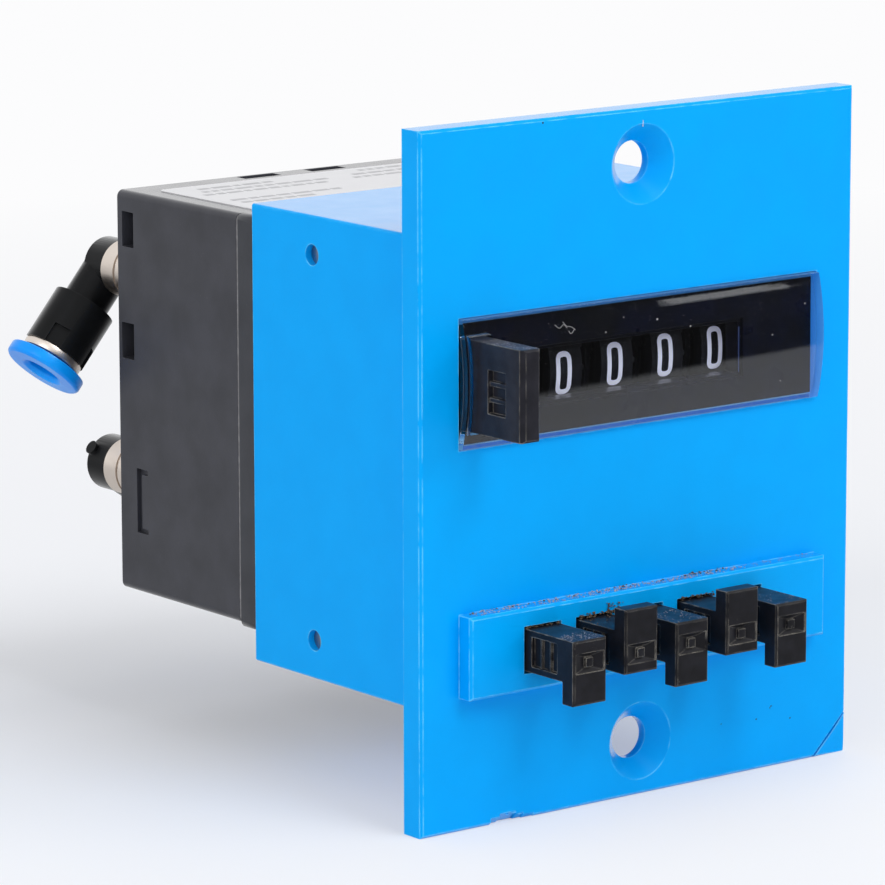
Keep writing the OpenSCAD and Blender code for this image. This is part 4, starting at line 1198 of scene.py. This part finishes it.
@dataclass
class Grime:
    """Dust, crumbs, lint and small scars that the unit has picked up in use.

    A patch has one clump for every few grains; clump_spread is a clump's width in shares of the
    patch, and loose is the share of grains that lie outside the clumps.
    """

    face: float = -3.0
    lens_axis: float = 22.5
    lens_r: float = 26.9
    lens_z: float = 10.5
    settled: Place = (1.0, 1.0, 0.5)
    clump: int = 9
    clump_spread: float = 0.02
    loose: float = 0.45
    patches: tuple[Patch, ...] = (
        Patch("ledge_dust", PALE_DUST, 420, (-23.6, -4.5, -13.98), (13.6, -3.05, -13.9), (0.08, 0.26)),
        Patch("ledge_dust_right", PALE_DUST, 60, (13.6, -4.2, -13.98), (24, -3.05, -13.9), (0.06, 0.14)),
        Patch("ledge_crumbs", BROWN_GRIME, 46, (-24, -4.3, -13.95), (12, -3.1, -13.8), (0.12, 0.34)),
        Patch("root_crumbs_1", BROWN_GRIME, 46, (-17.6, -5.3, -16.15), (-12.7, -5.02, -15.9), (0.1, 0.3)),
        Patch("root_crumbs_2", BROWN_GRIME, 80, (-10.4, -5.35, -16.15), (-5, -5.02, -15.7), (0.12, 0.38)),
        Patch("root_heap_2", BROWN_GRIME, 40, (-6.6, -5.2, -15.9), (-4.2, -5.02, -14.9), (0.1, 0.32)),
        Patch("root_crumbs_4", BROWN_GRIME, 60, (3.6, -5.35, -16.15), (8.8, -5.02, -15.75), (0.1, 0.32)),
        Patch(
            "key_1_dust", PALE_DUST, 120, (-17.3, -12.7, -16.19), (-13.1, -9.6, -16.17), (0.05, 0.14),
            "key_1_body",
        ),
        Patch(
            "key_3_dust", PALE_DUST, 80, (-3.2, -12.6, -16.19), (1, -7.6, -16.17), (0.05, 0.13),
            "key_3_body",
        ),
        Patch(
            "key_5_dust", PALE_DUST, 50, (10.9, -12.6, -16.19), (15.1, -8, -16.17), (0.05, 0.12),
            "key_5_body",
        ),
        Patch(
            "key_2_dust", BROWN_GRIME, 18, (-10.2, -8.6, -16.19), (-6.1, -5.4, -16.17), (0.08, 0.2),
            "key_2_body",
        ),
        Patch(
            "button_dust", PALE_DUST, 70, (-23.7, -11.9, 15.3), (-21.5, -4.8, 15.32), (0.05, 0.17),
            "button",
        ),
        Patch("cap_dust", BROWN_GRIME, 70, (-24.4, 0, 13), (-14, 0, 17), (0.05, 0.13), on_cap=True),
        Patch("cap_specks", PALE_DUST, 46, (-20, 0, 11), (24, 0, 17), (0.04, 0.1), on_cap=True),
    )
    marks: tuple[Marks, ...] = (
        Marks("cap_flecks", WHITE_LINT, Slot.WHITE, (0.14, 0.24), (1, 0.3, 1), (
            (-3.4, 15.5), (-6.0, 14.2), (1.2, 14.8), (5.7, 13.6), (22.2, 14.3), (17.3, 11.4),
            (18.8, 6.1),
        )),
        Marks("plate_spots", DARK_GRIME, Slot.BLACK, (0.16, 0.34), (1, 0.15, 0.8), (
            (18.87, -30.6), (18.7, -30.75), (16.7, -31.75), (11.6, -31.5), (21.7, -32.4),
            (-13.7, 37.05), (-2.2, -23.35),
        ), 0.0),
        Marks("edge_flakes", BROKEN_ABS, Slot.BLUE, (0.4, 0.8), (1.2, 0.7, 0.4), (
            (-18.9, -36.5), (-18.3, -36.7), (-17.4, -36.6), (-16.6, -36.9), (-15.6, -36.8),
            (-14.6, -37.0), (-19.8, -36.9),
        ), 0.25),
    )
    tick: Point = (-0.08, 35.55)
    tick_step: Point = (0.01, 0.13)
    tick_grains: int = 5
    tick_size: float = 0.2
    tick_flat: Place = (0.7, 0.2, 1)
    lint_radius: float = 0.022
    lint_lift: float = 0.03
    threads: tuple[tuple[Point, ...], ...] = (
        ((-12.8, 15.7), (-12.2, 15.3), (-11.6, 15.6), (-11.2, 15.2)),
        ((-11.7, 15.9), (-11.2, 15.4), (-10.7, 15.3), (-10.1, 14.9)),
        ((-10.2, 15.0), (-10.8, 14.6), (-11.0, 14.9)),
    )
    crack_radius: float = 0.06
    crack_aside: float = 0.17
    crack_depth: float = 0.02
    crack: tuple[Point, ...] = (
        (29.6, -32.9), (29.2, -33.3), (28.3, -34.3), (27.2, -35.4), (26.1, -36.4), (25.3, -37.2),
    )

    def grain(self) -> bpy.types.Object:
        """Model one crumb, 1 mm across: a broken lump of a few faces.

        Returns:
            The crumb, at the origin.
        """
        bpy.ops.object.select_all(action="DESELECT")
        bpy.ops.mesh.primitive_ico_sphere_add(subdivisions=1, radius=0.5 * MM)
        with Bench.editing():
            bpy.ops.transform.vertex_random(offset=0.16 * MM, uniform=0.4, normal=0.6, seed=3)
        return bpy.context.object

    def on_cap(self, z: float) -> float:
        """Return where the curved front of the clear cap is along Y at the height z."""
        return self.lens_axis - math.sqrt(self.lens_r**2 - (z - self.lens_z) ** 2)

    def lay(self, model: bpy.types.Object, place: Place, size: float, flat: Place) -> bpy.types.Object:
        """Lay one copy of the crumb.

        Args:
            model: the crumb.
            place: where it lies, in millimetres.
            size: its width in millimetres.
            flat: share of its size along each axis.

        Returns:
            The copy, with its place in its mesh.
        """
        mesh = model.data.copy()
        turn = Matrix.Rotation(random.uniform(0, 2 * math.pi), 4, Vector((1, 1, 1)).normalized())
        scale = Matrix.Diagonal((size * flat[0], size * flat[1], size * flat[2], 1))
        mesh.transform(Matrix.Translation(Vector(place) * MM) @ scale @ turn)
        return Bench.put("grain", mesh)

    def strew(self, model: bpy.types.Object, patch: Patch) -> None:
        """Strew the grains of one patch, in clumps, and finish them as one piece.

        Args:
            model: the crumb.
            patch: the patch.
        """
        grains = []
        clumps = [random.random() for _ in range(max(3, patch.count // self.clump))]
        for _ in range(patch.count):
            share = random.choice(clumps) + random.gauss(0, self.clump_spread)
            if random.random() < self.loose:
                share = random.random()
            share = min(max(share, 0.0), 1.0)
            x = patch.low[0] + share * (patch.high[0] - patch.low[0])
            y = random.uniform(patch.low[1], patch.high[1])
            z = random.uniform(patch.low[2], patch.high[2])
            if patch.on_cap:
                y = self.on_cap(z)
            grains.append(self.lay(model, (x, y, z), random.uniform(*patch.size), self.settled))
        slot = Slot.BLACK if patch.finish is BROWN_GRIME else Slot.WHITE
        Bench.finish(Bench.join(grains, patch.name), patch.finish, patch.body, slot)

    def mark(self, model: bpy.types.Object, marks: Marks) -> None:
        """Lay the grains of one kind that show by themselves, and finish them as one piece.

        Args:
            model: the crumb.
            marks: the grains' kind and places.
        """
        grains = []
        for x, z in marks.places:
            y = self.on_cap(z) if marks.behind is None else self.face + marks.behind
            grains.append(self.lay(model, (x, y, z), random.uniform(*marks.size), marks.flat))
        Bench.finish(Bench.join(grains, marks.name), marks.finish, "valve", marks.slot)

    def white_tick(self, model: bpy.types.Object) -> None:
        """Lay the short white tick above the upper screw hole, grain by grain.

        Args:
            model: the crumb.
        """
        grains = []
        for k in range(self.tick_grains):
            x, z = (start + k * step for start, step in zip(self.tick, self.tick_step))
            grains.append(self.lay(model, (x, self.face, z), self.tick_size, self.tick_flat))
        Bench.finish(Bench.join(grains, "white_tick"), WHITE_LINT, "valve", Slot.WHITE)

    def thread(self, name: str, points: list[Place], radius: float) -> bpy.types.Object:
        """Lay one smooth thread through points and make it a mesh.

        Args:
            name: name of the thread.
            points: its way, in millimetres.
            radius: its radius in millimetres.

        Returns:
            The thread.
        """
        data = Bench.strand(name, radius, 1)
        data.resolution_u = 5
        spline = data.splines.new("BEZIER")
        spline.bezier_points.add(len(points) - 1)
        for knot, place in zip(spline.bezier_points, points):
            knot.co = Vector(place) * MM
            knot.handle_left_type = knot.handle_right_type = "AUTO"
        return Bench.solid(name, data)

    def build(self) -> None:
        """Strew dust and crumbs, and lay lint and the crack's pale edge: stress whitening, and painted
        light over the groove's shade.
        """
        model = self.grain()
        for patch in self.patches:
            self.strew(model, patch)
        for marks in self.marks:
            self.mark(model, marks)
        self.white_tick(model)
        bpy.data.objects.remove(model)
        lint = []
        for way in self.threads:
            points = [(x, self.on_cap(z) - self.lint_lift, z) for x, z in way]
            lint.append(self.thread("lint", points, self.lint_radius))
        Bench.finish(Bench.join(lint, "cap_lint"), WHITE_LINT, "valve", Slot.WHITE)
        # The pale strand along the crack is stress whitening and painted light over the groove's shade
        aside = self.crack_aside
        way = [(x + aside, self.face + self.crack_depth, z - aside) for x, z in self.crack]
        edge = self.thread("crack_whitened_and_painted_light", way, self.crack_radius)
        Bench.finish(edge, BROKEN_ABS, "valve", Slot.BLUE)


@dataclass
class Studio:
    """Pale floor, soft light and the camera of the photograph.

    The eye is in millimetres, its angles in degrees, its focal length and frame in pixels.
    The floor's width, its middle behind the object and the lamps are in metres. Each lamp is its
    name, place, width and watts.
    """

    floor_z: float = -37.5
    floor_wide: float = 8.0
    floor_back: float = 2.0
    eye: Place = (-354.37, -423.16, 109.80)
    azimuth: float = -37.92
    elevation: float = 11.16
    roll: float = -0.12
    focal_px: float = 5226.96
    frame_px: float = 885.0
    ambient: float = 0.68
    white: str = "#FCFCFD"
    lamps: tuple[tuple[str, Place, float, float], ...] = (
        ("overhead_softbox", (0.1, -0.8, 1.0), 0.5, 5.2),
        ("front_softbox", (0.9, -1.0, 0.7), 0.7, 3.5),
        ("side_softbox", (-1.1, -0.2, 0.6), 0.6, 3.8),
        ("strip_softbox", (0.852, -0.966, 0.245), 0.045, 0.011),
    )

    def looked_at(self, tree: bpy.types.NodeTree, path: bpy.types.Node) -> bpy.types.Node:
        """Return the mask of the rays that the camera sends, straight or through glass."""
        rays = {0: path.outputs["Is Camera Ray"], 1: path.outputs["Is Transmission Ray"]}
        return add(tree, "Math", rays, operation="ADD", use_clamp=True)

    def glowing(self, tree: bpy.types.NodeTree, place: bpy.types.NodeSocket) -> bpy.types.Node:
        """Where the floor looks white by itself: far from the object as an even white floor, and in front
        of it as painted light over the object's shadow.

        Args:
            tree: node tree of the floor.
            place: object coordinates.

        Returns:
            Node with the glow's share.
        """
        away = add(tree, "VectorMath", {0: place}, operation="LENGTH").outputs["Value"]
        far = add(tree, "MapRange", {"Value": away, "From Min": 0.08, "From Max": 0.45})
        depth = add(tree, "SeparateXYZ", {0: place}).outputs[1]
        # Painted light: the floor in front of the plate is lifted towards white over the object's shadow
        front = add(tree, "MapRange", {
            "Value": depth, "From Min": -0.03, "From Max": 0.075, "To Min": 0.6, "To Max": 0.0,
        })
        return add(tree, "Math", {0: far, 1: front}, operation="MAXIMUM")

    def mirrored(self, tree: bpy.types.NodeTree, place: bpy.types.NodeSocket) -> bpy.types.Node:
        """What gloss shows of the floor: dark to the object's left, light to its right.

        Args:
            tree: node tree of the floor.
            place: object coordinates.

        Returns:
            Emission node.
        """
        parts = add(tree, "SeparateXYZ", {0: place})
        ways = {0: parts, 1: 0.43, 2: parts.outputs[1]}
        aslant = add(tree, "Math", ways, operation="MULTIPLY_ADD")
        near = add(tree, "MapRange", {
            "Value": aslant, "From Min": -0.087, "From Max": -0.076, "To Min": 0.04, "To Max": 0.7,
        })
        return add(tree, "Emission", {"Color": linear("#F9FAFC"), "Strength": near})

    def floor(self) -> None:
        """Lay the pale floor, which keeps the object's shadow, with painted light over it in front."""
        bpy.ops.object.select_all(action="DESELECT")
        middle = (0, self.floor_back, self.floor_z * MM)
        bpy.ops.mesh.primitive_plane_add(size=self.floor_wide, location=middle)
        floor = bpy.context.object
        bpy.ops.object.transform_apply(location=True)
        floor.name = "pale_floor"
        material = bpy.data.materials.new("pale_paper_floor")
        material.use_nodes = True
        tree = material.node_tree
        tree.nodes.clear()
        place = add(tree, "TexCoord").outputs["Object"]
        path = add(tree, "LightPath")
        paper = add(tree, "BsdfPrincipled", {"Base Color": linear("#ECEEF3"), "Roughness": 0.6})
        painted_glow = add(tree, "Emission", {"Color": linear(self.white), "Strength": 1.0})
        masks = {0: self.looked_at(tree, path), 1: self.glowing(tree, place)}
        share = add(tree, "Math", masks, operation="MULTIPLY")
        both = add(tree, "MixShader", {0: share, 1: paper, 2: painted_glow})
        gloss = {0: path.outputs["Is Glossy Ray"], 1: both, 2: self.mirrored(tree, place)}
        add(tree, "OutputMaterial", {"Surface": add(tree, "MixShader", gloss)})
        floor.data.materials.append(material)

    def reflected(self, tree: bpy.types.NodeTree) -> bpy.types.Node:
        """What gloss shows of the room: dim in front of the object, white above and behind it.

        Args:
            tree: node tree of the world.

        Returns:
            Background node.
        """
        way = add(tree, "SeparateXYZ", {0: add(tree, "TexCoord").outputs["Generated"]})
        front = add(tree, "MapRange", {"Value": way.outputs[1], "From Min": 0.1, "From Max": -0.15})
        high = add(tree, "MapRange", {
            "Value": way.outputs[2], "From Min": 0.21, "From Max": 0.42, "To Min": 0.05,
        })
        level = add(tree, "Mix", {0: front, 2: 1.0, 3: high}, data_type="FLOAT")
        return add(tree, "Background", {"Color": linear(self.white), "Strength": level})

    def sky(self) -> None:
        """Surround the set with even light, and white for what looks past the floor."""
        world = bpy.data.worlds.new("soft_studio")
        bpy.context.scene.world = world
        world.use_nodes = True
        tree = world.node_tree
        tree.nodes.clear()
        path = add(tree, "LightPath")
        even = add(tree, "Background", {"Color": linear("#FFFFFF"), "Strength": self.ambient})
        white = add(tree, "Background", {"Color": linear(self.white), "Strength": 1.0})
        both = add(tree, "MixShader", {0: self.looked_at(tree, path), 1: even, 2: white})
        gloss = {0: path.outputs["Is Glossy Ray"], 1: both, 2: self.reflected(tree)}
        add(tree, "OutputWorld", {"Surface": add(tree, "MixShader", gloss)})

    def lamp(self, name: str, place: Place, size: float, watts: float) -> None:
        """Hang one soft box that looks at the object.

        Args:
            name: name of the lamp.
            place: place in metres.
            size: side of its square face in metres.
            watts: power.
        """
        data = bpy.data.lights.new(name, "AREA")
        data.shape = "SQUARE"
        data.size = size
        data.energy = watts
        item = Bench.put(name, data)
        item.location = place
        item.rotation_mode = "QUATERNION"
        item.rotation_quaternion = Vector(place).to_track_quat("Z", "Y")

    def camera(self) -> None:
        """Set the camera where the photograph was taken."""
        a, e, r = (math.radians(v) for v in (self.azimuth, self.elevation, self.roll))
        back = Vector((math.sin(a) * math.cos(e), -math.cos(a) * math.cos(e), math.sin(e)))
        level = Vector((math.cos(a), math.sin(a), 0.0))
        rise = back.cross(level)
        right = level * math.cos(r) + rise * math.sin(r)
        up = rise * math.cos(r) - level * math.sin(r)
        data = bpy.data.cameras.new("camera")
        data.sensor_width = 36.0
        data.lens = self.focal_px / self.frame_px * data.sensor_width
        data.clip_start = 0.05
        data.clip_end = 50.0
        item = Bench.put("camera", data)
        turn = Matrix((right, up, back)).transposed().to_4x4()
        item.matrix_world = Matrix.Translation(Vector(self.eye) * MM) @ turn
        bpy.context.scene.camera = item

    def build(self) -> None:
        """Build floor, light and camera."""
        self.floor()
        self.sky()
        for row in self.lamps:
            self.lamp(*row)
        self.camera()
        bpy.context.scene.view_settings.view_transform = "Standard"


def main() -> None:
    """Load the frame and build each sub-assembly in order."""
    logging.basicConfig(level=logging.INFO, format="%(name)s: %(message)s")
    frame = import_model()
    random.seed(7)
    LOG.info("frame with %d nodes", len(frame["nodes"]))
    FrontHousing().build()
    Window().build()
    DigitWheels().build()
    Keys().build()
    Works().build()
    RearCase().build()
    for side in ("upper", "lower"):
        PushInFitting(side).build()
    Grime().build()
    Studio().build()


if __name__ == "__main__":
    main()
